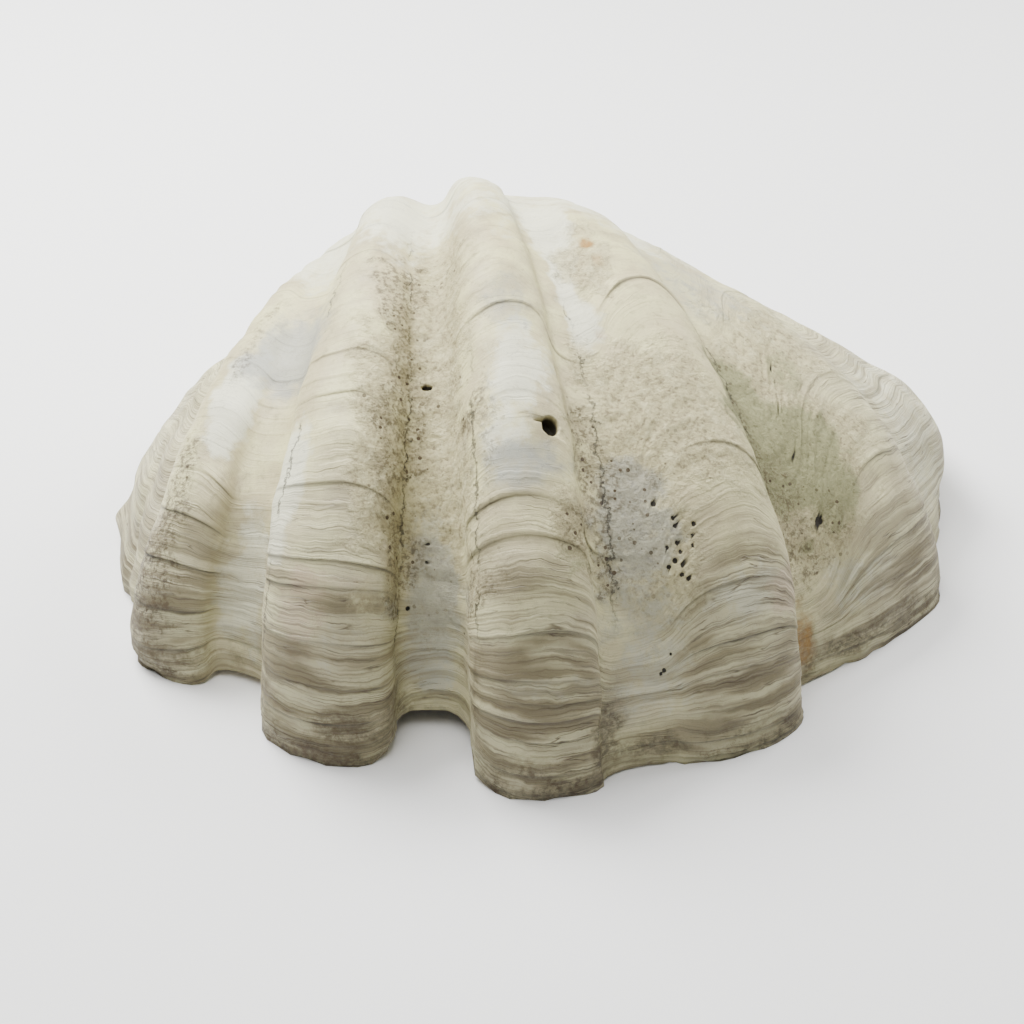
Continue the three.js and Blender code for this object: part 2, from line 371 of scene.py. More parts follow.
    def spiral(self, outline: Outline, turn: np.ndarray, axis_ahead: float) -> np.ndarray:
        """Points of an outline turned back about the line that lies a distance ahead of the beak.

        Args:
            outline: The outline that turns.
            turn: Turn of each of its places.
            axis_ahead: Distance of the line from the beak.

        Returns:
            Array of points in millimetres, in the frame of the part.
        """
        size = self.growth(turn) ** outline.curl
        lever = (outline.ahead - axis_ahead) * size
        angle = np.radians(turn)
        x = self.beak_across + outline.across * size
        y = self.beak_behind - axis_ahead - lever * np.cos(angle)
        z = self.hinge_height + lever * np.sin(angle)
        return np.stack(np.broadcast_arrays(x, y, z), axis=-1)

    def first_turn(self, outline: Outline, axis_ahead: float) -> np.ndarray:
        """Turn at which each place reaches the height of its rim."""
        lever = np.maximum(outline.ahead - axis_ahead, 60.0)
        return np.degrees(np.arcsin((outline.lift - self.hinge_height) / lever))

    def ribness(self, place: np.ndarray) -> np.ndarray:
        """How much of a rib each place is: 1 on a crest, 0 in a furrow, half beyond the folds.

        Args:
            place: Places round the outline.

        Returns:
            The share of a rib at each place.
        """
        folds = [line for line in RIM_LINES if not line.side]
        start = RIM_LINES.index(folds[0])
        end = start + len(folds) - 1
        inside = smoothstep(place, start - 1, start) * (1 - smoothstep(place, end, end + 1))
        return 0.5 + 0.5 * np.cos(np.pi * (place - start)) * inside

    def lead(self, place: np.ndarray, age: np.ndarray) -> np.ndarray:
        """How far in degrees the growth lines run ahead of those on the crests.

        Args:
            place: Places round the outline.
            age: Age at each place.

        Returns:
            The lead of each growth line.
        """
        place = np.mod(place, self.places)
        index = np.minimum(place, self.intervals - 1e-9).astype(int)
        share = (1 - np.cos(np.pi * np.minimum(place - index, 1.0))) / 2
        leads = np.array([line.lead for line in RIM_LINES])
        grown = smoothstep(age, 0, self.lead_grows_to)
        faded = smoothstep(age, self.lead_fades_from, self.lead_ends)
        return blend(leads[index], leads[index + 1], share) * grown * (1 - faded)

    def outside(self, place: np.ndarray, age: np.ndarray) -> np.ndarray:
        """Points of the outside on the growth lines of some ages.

        Growth lines run nearer to the rim in the furrows than on the ribs, so an age is a turn
        on the crests, and a little less in the furrows.

        Args:
            place: Places round the outline.
            age: Age of the growth line in degrees of turn, 0 at the rim of today.

        Returns:
            Array of points in millimetres.
        """
        start = self.first_turn(self.rim(place, 0.0), 0.0)
        turn = start + (self.last_turn - start) * age / self.last_turn - self.lead(place, age)
        return self.spiral(self.rim(place, turn), turn, 0.0)

    def axes(self, place: float, age: float) -> tuple[np.ndarray, np.ndarray, np.ndarray, np.ndarray]:
        """Point of the outside and the directions there.

        Args:
            place: Place round the outline.
            age: Age of the growth line.

        Returns:
            The point in mm, and unit vectors along the growth line, up the shell and outwards.
        """
        step = 0.02
        corner = self.outside(np.array([place, place + step, place]), np.array([age, age, age + step]))
        across, up = corner[1] - corner[0], corner[2] - corner[0]
        outward = np.cross(across, up)
        outward = outward / np.linalg.norm(outward)
        up = up / np.linalg.norm(up)
        return corner[0], np.cross(up, outward), up, outward

    def inside(self, place: np.ndarray, share: np.ndarray) -> np.ndarray:
        """Points of the hollow, a share of the way from the rim (0) to its top (1).

        Args:
            place: Places round the outline.
            share: Share of the way up at each place.

        Returns:
            Array of points in millimetres.
        """
        start = self.first_turn(self.inner_rim(place, 0.0), self.hinge_plate)
        turn = blend(start, self.last_turn, share)
        fade = smoothstep(turn, self.fade_starts, self.fade_ends)
        folded, smooth = self.inner_rim(place, turn), self.smooth_inner_rim(place, turn)
        faded = Outline(
            blend(folded.across, smooth.across, fade),
            blend(folded.ahead, smooth.ahead, fade),
            folded.lift,
            blend(folded.curl, 1.0, fade),
        )
        return self.spiral(faded, turn, self.hinge_plate)

    def pole(self, axis_ahead: float) -> np.ndarray:
        """Point that closes the beak, or the top of the hollow.

        Args:
            axis_ahead: Distance of the line that the skin turns about from the beak.

        Returns:
            The point in millimetres.
        """
        ahead = self.middle_ahead + axis_ahead
        middle = Outline(*(np.array(value) for value in (self.middle_across, ahead, 0.0, 1.0)))
        return self.spiral(middle, np.array(self.last_turn), axis_ahead)


@dataclass(frozen=True)
class Ledge:
    """Raised edge of an old growth layer, between two places of the shell."""

    age: float
    height: float
    first: float = 0.0
    last: float = 18.0


# Strong ledges that the photo shows, from the rim upwards
STRONG_LEDGES: tuple[Ledge, ...] = (
    Ledge(2.4, 1.0),
    Ledge(4.6, 1.2, 4.4, 7.6),
    Ledge(5.3, 1.2, 8.4, 11.6),
    Ledge(7.3, 1.3, 8.3, 10.0),
    Ledge(8.1, 1.2, 6.4, 7.7),
    Ledge(9.8, 1.4, 4.4, 5.7),
    Ledge(10.7, 1.5, 8.3, 9.7),
    Ledge(11.4, 1.2, 10.3, 11.4),
    Ledge(12.4, 1.2, 6.4, 7.7),
    Ledge(13.4, 1.2, 12.2, 13.4),
    Ledge(14.5, 1.6, 8.3, 9.7),
    Ledge(15.4, 1.6, 4.4, 5.7),
    Ledge(16.3, 1.2, 10.3, 11.5),
    Ledge(17.5, 1.3, 6.4, 7.7),
    Ledge(19.9, 1.7, 6.4, 7.7),
    Ledge(21.0, 1.5, 4.5, 5.7),
    Ledge(22.1, 2.3, 8.5, 9.7),
    Ledge(23.1, 1.9, 12.75, 13.2),
    Ledge(25.4, 1.9, 8.5, 9.9),
    Ledge(26.1, 1.4, 4.6, 5.7),
    Ledge(26.8, 1.3, 6.5, 7.6),
    Ledge(28.6, 2.1, 10.7, 11.6),
    Ledge(33.0, 0.8, 13.0, 17.0),
    Ledge(35.6, 0.9, 6.5, 7.5),
    Ledge(41.2, 1.2, 6.5, 7.5),
    Ledge(44.4, 1.6, 8.6, 9.9),
    Ledge(48.4, 2.3, 10.5, 11.6),
    Ledge(58.0, 0.6, 4.5, 10.0),
    Ledge(76.0, 0.8, 4.5, 10.0),
    Ledge(97.0, 1.0),
)


class Wear(Enum):
    """Kinds of colour that lie on the shell in patches. The soil and the two brownish stain colours also hold
    painted shade, towards the rim, at the foot of the lobes and in the creases.
    """

    CHALK = ("deposits", 0)
    # Soil and dirt, also used as painted shade at the foot of the ribs and in the creases
    GRIME = ("deposits", 1)
    ALGAE = ("deposits", 2)
    PINK = ("tints", 0)
    GREY = ("tints", 1)
    WHITE = ("tints", 2)
    TAN = ("stains", 0)
    BROWN = ("stains", 1)
    RUST = ("stains", 2)


@dataclass(frozen=True)
class Patch:
    """Rounded patch of wear on the outside, centred on a place and an age.

    Wide is its size in mm along the growth lines and tall its size up the shell.
    """

    wear: Wear
    place: float
    age: float
    wide: float
    tall: float
    strength: float = 1.0
    raggedness: float = 0.5


PATCHES: tuple[Patch, ...] = (
    # Worn chalky stretches
    Patch(Wear.CHALK, 7.99, 47, 85, 240, 0.9, 0.6),
    Patch(Wear.CHALK, 8.05, 30, 90, 170, 0.9, 0.6),
    Patch(Wear.CHALK, 7.98, 17, 50, 80, 0.5, 0.6),
    Patch(Wear.CHALK, 7.32, 32, 40, 230, 0.9, 0.6),
    Patch(Wear.CHALK, 7.58, 21, 35, 95, 0.7, 0.6),
    Patch(Wear.CHALK, 10.55, 33, 130, 170, 1, 0.5),
    Patch(Wear.CHALK, 10.20, 27, 90, 150, 0.8, 0.5),
    Patch(Wear.CHALK, 10.39, 56, 50, 100, 0.8, 0.6),
    Patch(Wear.CHALK, 12.20, 38, 150, 190, 1, 0.5),
    Patch(Wear.CHALK, 11.10, 30, 90, 130, 0.6, 0.5),
    Patch(Wear.CHALK, 12.53, 44, 85, 130, 0.8, 0.5),
    Patch(Wear.CHALK, 9.29, 24, 35, 70, 0.9, 0.5),
    Patch(Wear.CHALK, 12.5, 32, 130, 150, 1, 0.5),
    Patch(Wear.CHALK, 12.75, 42, 110, 120, 0.8, 0.5),
    Patch(Wear.CHALK, 12.3, 45, 110, 120, 1, 0.5),
    # Dirt in creases and pits, partly painted shade in the creases
    Patch(Wear.GRIME, 7.49, 52, 55, 120, 0.9, 0.6),
    Patch(Wear.GRIME, 7.60, 36, 50, 130, 0.9, 0.6),
    Patch(Wear.GRIME, 7.64, 21, 40, 100, 0.8, 0.6),
    Patch(Wear.GRIME, 9.31, 24, 35, 55, 0.7, 0.6),
    Patch(Wear.GRIME, 4.95, 22, 30, 120, 0.9, 0.6),
    Patch(Wear.GRIME, 4.88, 12, 60, 90, 0.9, 0.6),
    Patch(Wear.GRIME, 5.15, 45, 18, 100, 0.5, 0.6),
    Patch(Wear.GRIME, 8.76, 32, 10, 245, 0.5, 0.6),
    Patch(Wear.GRIME, 9.90, 33, 35, 170, 0.8, 0.6),
    Patch(Wear.GRIME, 11.87, 40, 20, 140, 0.6, 0.6),
    Patch(Wear.GRIME, 12.0, 30, 60, 110, 0.6, 0.7),
    Patch(Wear.GRIME, 10.2, 30, 60, 90, 0.5, 0.7),
    Patch(Wear.GRIME, 7.6, 44, 30, 150, 0.7, 0.6),
    Patch(Wear.GRIME, 12.2, 28, 90, 70, 0.5, 0.7),
    # Green film
    Patch(Wear.ALGAE, 11.92, 40, 70, 150, 1, 0.5),
    Patch(Wear.ALGAE, 11.94, 35, 85, 80, 0.5, 0.5),
    Patch(Wear.ALGAE, 12.13, 27, 40, 30, 0.3, 0.5),
    Patch(Wear.ALGAE, 8.78, 21, 65, 25, 0.2, 0.5),
    Patch(Wear.ALGAE, 9.25, 21, 35, 30, 0.4, 0.5),
    Patch(Wear.ALGAE, 12.25, 35, 110, 120, 1, 0.5),
    Patch(Wear.ALGAE, 12.5, 27, 80, 60, 0.8, 0.5),
    Patch(Wear.ALGAE, 12.6, 38, 60, 90, 0.5, 0.6),
    # Pink tint of bare shell
    Patch(Wear.PINK, 6.88, 15, 45, 95, 0.6, 0.5),
    Patch(Wear.PINK, 11.24, 15, 60, 50, 0.8, 0.5),
    Patch(Wear.PINK, 10.87, 26, 35, 100, 0.3, 0.5),
    Patch(Wear.PINK, 7.11, 18, 60, 18, 0.4, 0.5),
    # Blue-grey tint of bare shell
    Patch(Wear.GREY, 6.04, 46, 90, 95, 1, 0.4),
    Patch(Wear.GREY, 9.02, 28, 80, 40, 0.8, 0.5),
    Patch(Wear.GREY, 10.12, 29, 75, 95, 0.8, 0.5),
    Patch(Wear.GREY, 8.97, 45, 40, 70, 0.5, 0.6),
    Patch(Wear.GREY, 7.99, 26, 40, 80, 0.4, 0.5),
    Patch(Wear.GREY, 12.31, 59, 130, 125, 0.5, 0.5),
    Patch(Wear.GREY, 7.95, 10, 40, 70, 0.3, 0.5),
    Patch(Wear.GREY, 10.23, 21, 65, 95, 0.25, 0.5),
    Patch(Wear.GREY, 8.0, 15, 60, 130, 0.9, 0.5),
    Patch(Wear.GREY, 7.95, 6, 60, 60, 0.5, 0.5),
    Patch(Wear.GREY, 10.05, 20, 80, 80, 0.5, 0.5),
    Patch(Wear.GREY, 10.0, 10, 70, 70, 0.5, 0.5),
    # Smooth white stretches
    Patch(Wear.WHITE, 7.42, 71, 55, 115, 1, 0.4),
    Patch(Wear.WHITE, 10.11, 66, 40, 175, 1, 0.4),
    Patch(Wear.WHITE, 10.04, 55, 20, 135, 1, 0.4),
    Patch(Wear.WHITE, 6.65, 26, 45, 125, 1, 0.3),
    Patch(Wear.WHITE, 5.29, 36, 45, 105, 0.9, 0.4),
    Patch(Wear.WHITE, 7.88, 47, 15, 25, 1, 0.2),
    Patch(Wear.WHITE, 9.04, 37, 65, 95, 0.7, 0.5),
    Patch(Wear.WHITE, 8.88, 30, 45, 65, 0.6, 0.5),
    Patch(Wear.WHITE, 7.09, 68, 40, 110, 0.6, 0.5),
    Patch(Wear.WHITE, 10.14, 48, 35, 65, 0.7, 0.5),
    Patch(Wear.WHITE, 6.0, 14, 50, 130, 0.7, 0.5),
    Patch(Wear.WHITE, 8.0, 6, 50, 70, 0.5, 0.5),
    Patch(Wear.WHITE, 11.0, 15, 90, 60, 0.6, 0.5),
    Patch(Wear.WHITE, 10.15, 12, 60, 90, 0.5, 0.5),
    Patch(Wear.WHITE, 12.6, 12, 110, 60, 0.5, 0.5),
    Patch(Wear.WHITE, 14.5, 22, 150, 200, 0.5, 0.5),
    Patch(Wear.WHITE, 9.0, 10, 70, 60, 0.4, 0.5),
    Patch(Wear.WHITE, 7.05, 12, 60, 50, 0.4, 0.5),
    # Rusty spots
    Patch(Wear.RUST, 10.62, 58, 14, 22, 1, 0.6),
    Patch(Wear.RUST, 10.65, 54, 10, 25, 0.5, 0.5),
    Patch(Wear.RUST, 10.27, 46, 16, 16, 0.4, 0.6),
    Patch(Wear.RUST, 11.92, 8, 35, 70, 0.6, 0.5),
    # Brown stain near the rim, partly painted shade at the foot of the lobes
    Patch(Wear.BROWN, 7.09, 4, 70, 40, 0.9, 0.6),
    Patch(Wear.BROWN, 9.71, 5, 30, 65, 1, 0.6),
    Patch(Wear.BROWN, 11.94, 4, 40, 60, 0.9, 0.6),
    Patch(Wear.BROWN, 10.08, 2, 85, 25, 0.8, 0.6),
    Patch(Wear.BROWN, 10.93, 3, 75, 20, 0.6, 0.6),
    Patch(Wear.BROWN, 12.37, 3, 100, 25, 0.9, 0.6),
    Patch(Wear.BROWN, 12.80, 4, 85, 25, 0.8, 0.6),
    Patch(Wear.BROWN, 5.12, 4, 90, 30, 0.7, 0.6),
    Patch(Wear.BROWN, 5.95, 2, 35, 35, 0.5, 0.6),
    Patch(Wear.BROWN, 8.94, 3, 90, 25, 0.5, 0.6),
    Patch(Wear.BROWN, 8.62, 8, 25, 85, 0.6, 0.6),
    Patch(Wear.BROWN, 6.69, 6, 20, 70, 0.6, 0.6),
    # Wide strips along the foot of the lobes: stain and painted shade under the lobes
    Patch(Wear.BROWN, 6.9, 1, 120, 26, 0.9, 0.6),
    Patch(Wear.BROWN, 7.5, 3, 50, 55, 0.7, 0.6),
    Patch(Wear.BROWN, 6.35, 6, 40, 60, 0.7, 0.6),
    Patch(Wear.BROWN, 9.0, 1, 120, 24, 0.9, 0.6),
    Patch(Wear.BROWN, 11.2, 1, 120, 24, 0.6, 0.6),
    Patch(Wear.BROWN, 5.0, 2, 70, 40, 0.9, 0.6),
    Patch(Wear.BROWN, 13.4, 2, 120, 24, 0.6, 0.6),
)


@dataclass(frozen=True)
class Lump:
    """Rounded swelling of the outside, or a dent if its height is negative. Sizes in mm."""

    place: float
    age: float
    wide: float
    tall: float
    height: float


LUMPS: tuple[Lump, ...] = (
    Lump(2.3, 5, 34, 42, 8),
    Lump(10.4, 66, 60, 70, 5),
    Lump(12.85, 18, 34, 26, 4),
    Lump(5.0, 12, 40, 50, 3),
    Lump(7.0, 30, 60, 60, 2.5),
    Lump(9.0, 50, 50, 60, 2.5),
    Lump(9.0, 20, 60, 36, 2.5),
)


@dataclass(frozen=True)
class Crease:
    """Thin dark crease of painted shade and dirt that runs up the shell along the foot of a fold's flank.

    Its places are given at the ages 0, 20, 40 and 60. It shows between its first and last age.
    """

    places: tuple[float, float, float, float]
    first: float
    last: float
    depth: float

    def place(self, age: np.ndarray) -> np.ndarray:
        """Place of the crease at each age."""
        return np.interp(age, (0, 20, 40, 60), self.places)

    def shown(self, age: np.ndarray) -> np.ndarray:
        """How clearly the crease shows at each age."""
        started = smoothstep(age, self.first - 4, self.first + 4)
        return started * (1 - smoothstep(age, self.last - 12, self.last + 4))


# From left to right, as the signs of the distances alternate
CREASES: tuple[Crease, ...] = (
    Crease((5.55, 5.75, 5.85, 5.90), 26, 30, 0.5),
    Crease((6.62, 6.66, 6.70, 6.75), 2, 60, 1.0),
    Crease((7.55, 7.72, 7.72, 7.65), 8, 70, 1.6),
    Crease((8.62, 8.66, 8.66, 8.66), 14, 44, 0.8),
    Crease((9.60, 9.92, 9.98, 10.0), 20, 60, 2.2),
    Crease((11.45, 11.60, 11.88, 11.9), 2, 60, 1.2),
)
CREASE_REACH = 24.0


@dataclass(frozen=True)
class Hole:
    """Hole that a borer or wear has left in the outside."""

    place: float
    age: float
    width: float
    length: float
    depth: float


@dataclass(frozen=True)
class PitCluster:
    """Group of small borer pits scattered about a place."""

    place: float
    age: float
    half_width: float
    half_height: float
    count: int
    seed: int

    def holes(self) -> list[Hole]:
        """The pits of the group, the same on each run.

        Returns:
            One hole for each pit.
        """
        dice = np.random.default_rng(self.seed)
        pits = []
        for _ in range(self.count):
            place = self.place + self.half_width * dice.normal(0, 0.5)
            age = self.age + self.half_height * dice.normal(0, 0.5)
            size = dice.uniform(2.6, 5.0)
            pits.append(Hole(place, age, size * dice.uniform(0.7, 1.0), size, size * 0.4))
        return pits


HOLES: tuple[Hole, ...] = (
    Hole(9.20, 31.7, 14, 17, 15),
    Hole(7.95, 41.5, 9, 5, 5),
    Hole(12.24, 28.3, 8, 8, 2.5),
    Hole(10.38, 27.9, 4.5, 5, 1.6),
    Hole(10.60, 24.4, 3.5, 4, 1.4),
    Hole(10.61, 23.6, 4, 4, 1.4),
    Hole(10.47, 23.2, 3, 4, 1),
    Hole(10.60, 22.2, 3.5, 4.5, 1.5),
    Hole(10.75, 22.4, 4, 4.5, 1.5),
    Hole(10.73, 21.6, 3, 3.5, 1),
    Hole(10.45, 21.6, 4, 4, 1.4),
    Hole(10.55, 21.1, 4.5, 5, 1.6),
    Hole(10.62, 21.2, 3.5, 4, 1),
    Hole(10.72, 20.8, 3, 4, 1),
    Hole(10.62, 20.0, 4, 5, 1.6),
    Hole(10.60, 19.3, 4.5, 4, 1.4),
    Hole(10.65, 18.5, 4, 5, 1.6),
    Hole(7.96, 23.2, 3, 3, 1),
    Hole(7.97, 25.2, 3.5, 3, 1),
    Hole(7.81, 16.4, 4, 4, 2.5),
    Hole(8.25, 12.9, 3, 3, 1),
)
PIT_CLUSTERS: tuple[PitCluster, ...] = (
    PitCluster(10.2, 12.0, 0.12, 2.0, 4, 2),
    PitCluster(12.4, 36.0, 0.25, 6.0, 5, 6),
)


@dataclass(frozen=True)
class HingeTooth:
    """Long rounded tooth on the underside of the hinge plate."""

    across: float
    ahead: float
    length: float
    width: float
    turned: float


MARKS = ("age", "ledge_shade_line", "outside", "lined", "crease_side", "crease_shown")


@dataclass
class ClamValve:
    """The whole valve: outside, rim, hinge plate and hollow in one skin.

    Heights and depths of the relief are in mm and ages in degrees of turn. Each hole pass splits
    the edges longer than its first value that lie within its second value of a hole, in mm, and
    the wall of a hole stands between two shares of its half width.
    """

    form: ShellForm = field(default_factory=ShellForm)
    columns_per_fold: int = 13
    columns_per_side: int = 6
    columns_on_hinge: int = 12
    rim_rows: int = 10
    inside_rows: int = 46
    row_step: float = 0.3
    ledge_pair: float = 0.05
    ledge_seed: int = 7
    swell_height: float = 3.0
    ripple_height: float = 1.2
    stage_places: float = 1.6
    stage_ages: float = 7.5
    stage_heights: tuple[float, float] = (4.0, 2.2)
    chip_depth: float = 5.0
    erosion: float = 1.9
    erosion_depth: float = 0.7
    strong_ledge: float = 1.3
    ledge_ages: float = 8.0
    lip_ages: float = 1.1
    line_ages: float = 0.16
    groove_width: float = 4.5
    hole_passes: tuple[tuple[float, float], ...] = ((3.5, 5.0), (1.9, 3.0), (1.0, 2.0))
    hole_wall: tuple[float, float] = (0.82, 1.04)
    tooth_height: float = 12.0
    teeth: tuple[HingeTooth, ...] = (
        HingeTooth(-14, 40, 52, 22, 28),
        HingeTooth(82, 32, 116, 18, 4),
        HingeTooth(-118, 36, 80, 16, -5),
    )

    def column_places(self) -> np.ndarray:
        """Places of the mesh columns once round the outline, without the closing one.

        Returns:
            The places, from the left end of the hinge on.
        """
        places: list[float] = []
        for index in range(self.form.intervals):
            folded = not RIM_LINES[index].side and not RIM_LINES[index + 1].side
            count = self.columns_per_fold if folded else self.columns_per_side
            places.extend(index + np.arange(count) / count)
        on_hinge = np.arange(self.columns_on_hinge) / self.columns_on_hinge
        places.extend(self.form.intervals + on_hinge * self.form.hinge_places)
        return np.array(places)

    def row_ages(self) -> np.ndarray:
        """Ages of the mesh rows on the outside, from the rim to the beak, in pairs at each ledge.

        Returns:
            The ages in rising order.
        """
        ages = [0.0]
        while ages[-1] < self.form.last_turn:
            wide = 1 + 1.5 * smoothstep(ages[-1], 45, 90) + 6 * smoothstep(ages[-1], 95, 140)
            ages.append(ages[-1] + self.row_step * float(wide))
        ages = [age for age in ages if age < self.form.last_turn - 0.5]
        edges = [ledge.age for ledge in self.ledges()]
        clear_of_pair = 2.2 * self.ledge_pair
        kept = [age for age in ages if all(abs(age - edge) > clear_of_pair for edge in edges)]
        pairs = [edge + side for edge in edges for side in (-self.ledge_pair, self.ledge_pair)]
        return np.array(sorted(kept + pairs + [self.form.last_turn]))

    def ledges(self) -> list[Ledge]:
        """Strong ledges and the many small ones between them.

        Returns:
            The ledges from the rim upwards.
        """
        dice = np.random.default_rng(self.ledge_seed)
        small: list[Ledge] = []
        age = 0.7
        while age < 70:
            if all(abs(age - strong.age) > 0.5 for strong in STRONG_LEDGES):
                first = dice.uniform(0, 13)
                height = dice.uniform(0.25, 0.7) * (1.3 if age < 18 else 0.7)
                small.append(Ledge(age, height, first, first + dice.uniform(3, 9)))
            age += dice.uniform(0.8, 1.7) * (1 + age / 25)
        return sorted([*STRONG_LEDGES, *small], key=lambda ledge: ledge.age)

    def ledge_reach(self, ledge: Ledge, place: np.ndarray, waver: np.ndarray) -> np.ndarray:
        """How strongly a ledge stands at each place, fading out at its ends.

        Args:
            ledge: The ledge.
            place: Places round the outline.
            waver: Noise that breaks the ledge up.

        Returns:
            The strength at each place.
        """
        ends = smoothstep(place, ledge.first - 0.25, ledge.first + 0.3)
        ends = ends * (1 - smoothstep(place, ledge.last - 0.3, ledge.last + 0.25))
        return ends * np.clip(0.75 + 0.9 * waver, 0.0, 1.2)

    def broad_relief(self, place: np.ndarray, age: np.ndarray, points: np.ndarray) -> np.ndarray:
        """Height in mm of the swells, growth stages, lumps and rim chips over the smooth form.

        Args:
            place: Place of each vertex of the outside.
            age: Age of each vertex.
            points: The smooth form, in millimetres.

        Returns:
            The height of each vertex.
        """
        height = self.swell_height * rough_field(points, 110.0, 2, 3.1)
        height = height + self.ripple_height * rough_field(points, 34.0, 2, 8.7)
        stages = np.stack([place / self.stage_places, age / self.stage_ages, place * 0], axis=-1)
        stage_height = blend(*self.stage_heights, smoothstep(place, 4.5, 6.5))
        height = height + stage_height * rough_field(stages, 1.0, 2, 6.1) * (1 - smoothstep(age, 90, 130))
        for lump in LUMPS:
            away = self.distance(points, lump.place, lump.age, lump.wide, lump.tall)
            height = height + lump.height * (1 - smoothstep(away, 0, 1.4))
        chips = np.maximum(rough_field(points, 22.0, 3, 15.3), 0.0)
        return height - self.chip_depth * chips * (1 - smoothstep(age, 0.3, 2.2))

    def ledge_relief(self, place: np.ndarray, age: np.ndarray) -> tuple[np.ndarray, np.ndarray]:
        """Height of the growth ledges and the strength of the painted shade line under each.

        Args:
            place: Place of each vertex of the outside, the same in each row.
            age: Age of each vertex, the same in each column.

        Returns:
            The height in millimetres and the strength of the line, from 0 to 1.
        """
        height, line = np.zeros_like(place), np.zeros_like(place)
        for number, ledge in enumerate(self.ledges()):
            over = age[:, :1] - ledge.age
            if np.all(np.abs(over) > self.ledge_ages):
                continue
            along = np.stack([place[0] * 1.7, place[0] * 0 + number * 3.7, place[0] * 0], axis=-1)
            reach = self.ledge_reach(ledge, place[0], rough_field(along, 1.0, 2, 0.5))[None, :]
            lip = np.where(over > 0, np.exp(-np.maximum(over, 0) / self.lip_ages), 0.0)
            height = height + ledge.height * reach * lip
            # Painted shade just under the lip, stronger under taller ledges
            below = np.where(over <= 0, np.exp(np.minimum(over, 0) / self.line_ages), 0.0)
            line = np.maximum(line, below * reach * min(ledge.height / self.strong_ledge, 1.0))
        return height, line

    def relief(
        self, place: np.ndarray, age: np.ndarray, points: np.ndarray, chalk: np.ndarray
    ) -> tuple[np.ndarray, np.ndarray]:
        """Height of all relief over the smooth form.

        Args:
            place: Place of each vertex of the outside.
            age: Age of each vertex.
            points: The smooth form, in millimetres.
            chalk: How chalky each vertex is.

        Returns:
            The height in millimetres and the strength of the painted shade line under each ledge.
        """
        ledges, line = self.ledge_relief(place, age)
        height = self.broad_relief(place, age, points) + ledges
        eroded = chalk * (self.erosion * rough_field(points, 13.0, 4, 5.2) - self.erosion_depth)
        height = height * (1 - 0.5 * chalk) + eroded
        return height * (1 - smoothstep(age, 140, 160)), line

    def creases(self, place: np.ndarray, age: np.ndarray, points: np.ndarray) -> tuple[np.ndarray, ...]:
        """Distance in mm from the nearest crease, its sign changing at each crease.

        Args:
            place: Place of each vertex.
            age: Age of each vertex.
            points: The smooth form, in mm.

        Returns:
            The signed distance, how clearly the crease shows, and the depth of its groove in mm.
        """
        gap = np.linalg.norm(np.roll(points, -1, axis=1) - points, axis=-1)
        step = np.mod(np.roll(place, -1, axis=1) - place, self.form.places)
        away = np.stack([(place - crease.place(age)) * gap / step for crease in CREASES])
        nearest = np.argmin(np.abs(away), axis=0)[None]
        distance = np.minimum(np.take_along_axis(np.abs(away), nearest, axis=0)[0], CREASE_REACH)
        side = np.where((away > 0).sum(axis=0) % 2 == 0, distance, -distance)
        shown = np.stack([crease.shown(age) for crease in CREASES])
        shown = np.take_along_axis(shown, nearest, axis=0)[0]
        depths = np.array([crease.depth for crease in CREASES])[nearest[0]]
        return side, shown, depths * shown * np.exp(-((distance / self.groove_width) ** 2))

    def distance(self, points: np.ndarray, place: float, age: float, wide: float, tall: float) -> np.ndarray:
        """How far points lie from a spot of the outside.

        Args:
            points: Points in mm.
            place: Place of the spot.
            age: Age of the spot.
            wide: Size of the spot along the growth lines in mm.
            tall: Its size up the shell in mm.

        Returns:
            The distance, which is 1 on the edge of the spot.
        """
        centre, across, up, outward = self.form.axes(place, age)
        offset = points - centre
        aside = offset @ across / (wide / 2)
        along = offset @ up / (tall / 2)
        deep = offset @ outward / max(wide, tall, 60)
        return np.sqrt(aside**2 + along**2 + deep**2)

    def wear(self, place: np.ndarray, age: np.ndarray, points: np.ndarray) -> dict[Wear, np.ndarray]:
        """Strength of each kind of wear over the outside.

        Args:
            place: Place of each vertex.
            age: Age of each vertex.
            points: The smooth form, in millimetres.

        Returns:
            One array from 0 to 1 for each kind.
        """
        edge = rough_field(points, 38.0, 4, 1.3)
        fine = rough_field(points, 12.0, 3, 6.6)
        rib = self.form.ribness(place)
        wear = {kind: np.zeros_like(place) for kind in Wear}
        # Darker towards the rim and stronger on the ribs: partly the shell's own tawny colour, partly painted
        # shade where the lobes curve under
        wear[Wear.TAN] = (1 - smoothstep(age + 6 * edge, 9, 27)) * (0.25 + 0.75 * rib)
        bleached = smoothstep(age + 10 * edge, 48, 75) - 0.8 * smoothstep(age + 16 * edge, 78, 112)
        wear[Wear.WHITE] = 0.6 * bleached
        # Painted shade along the foot of the ribs, where they curve under; the next line is dirt about the
        # beak
        wear[Wear.GRIME] = 0.5 * (1 - smoothstep(age + 3 * fine, 0.5, 5)) * rib
        wear[Wear.GRIME] += 0.35 * smoothstep(age + 18 * edge + 10 * fine, 95, 130)
        for patch in PATCHES:
            ragged = patch.raggedness * (0.8 * edge + 0.5 * fine)
            away = self.distance(points, patch.place, patch.age, patch.wide, patch.tall) + ragged
            share = patch.strength * (1 - smoothstep(away, 0.45, 1.4))
            wear[patch.wear] = np.maximum(wear[patch.wear], share)
        return {kind: np.clip(strength, 0.0, 1.0) for kind, strength in wear.items()}

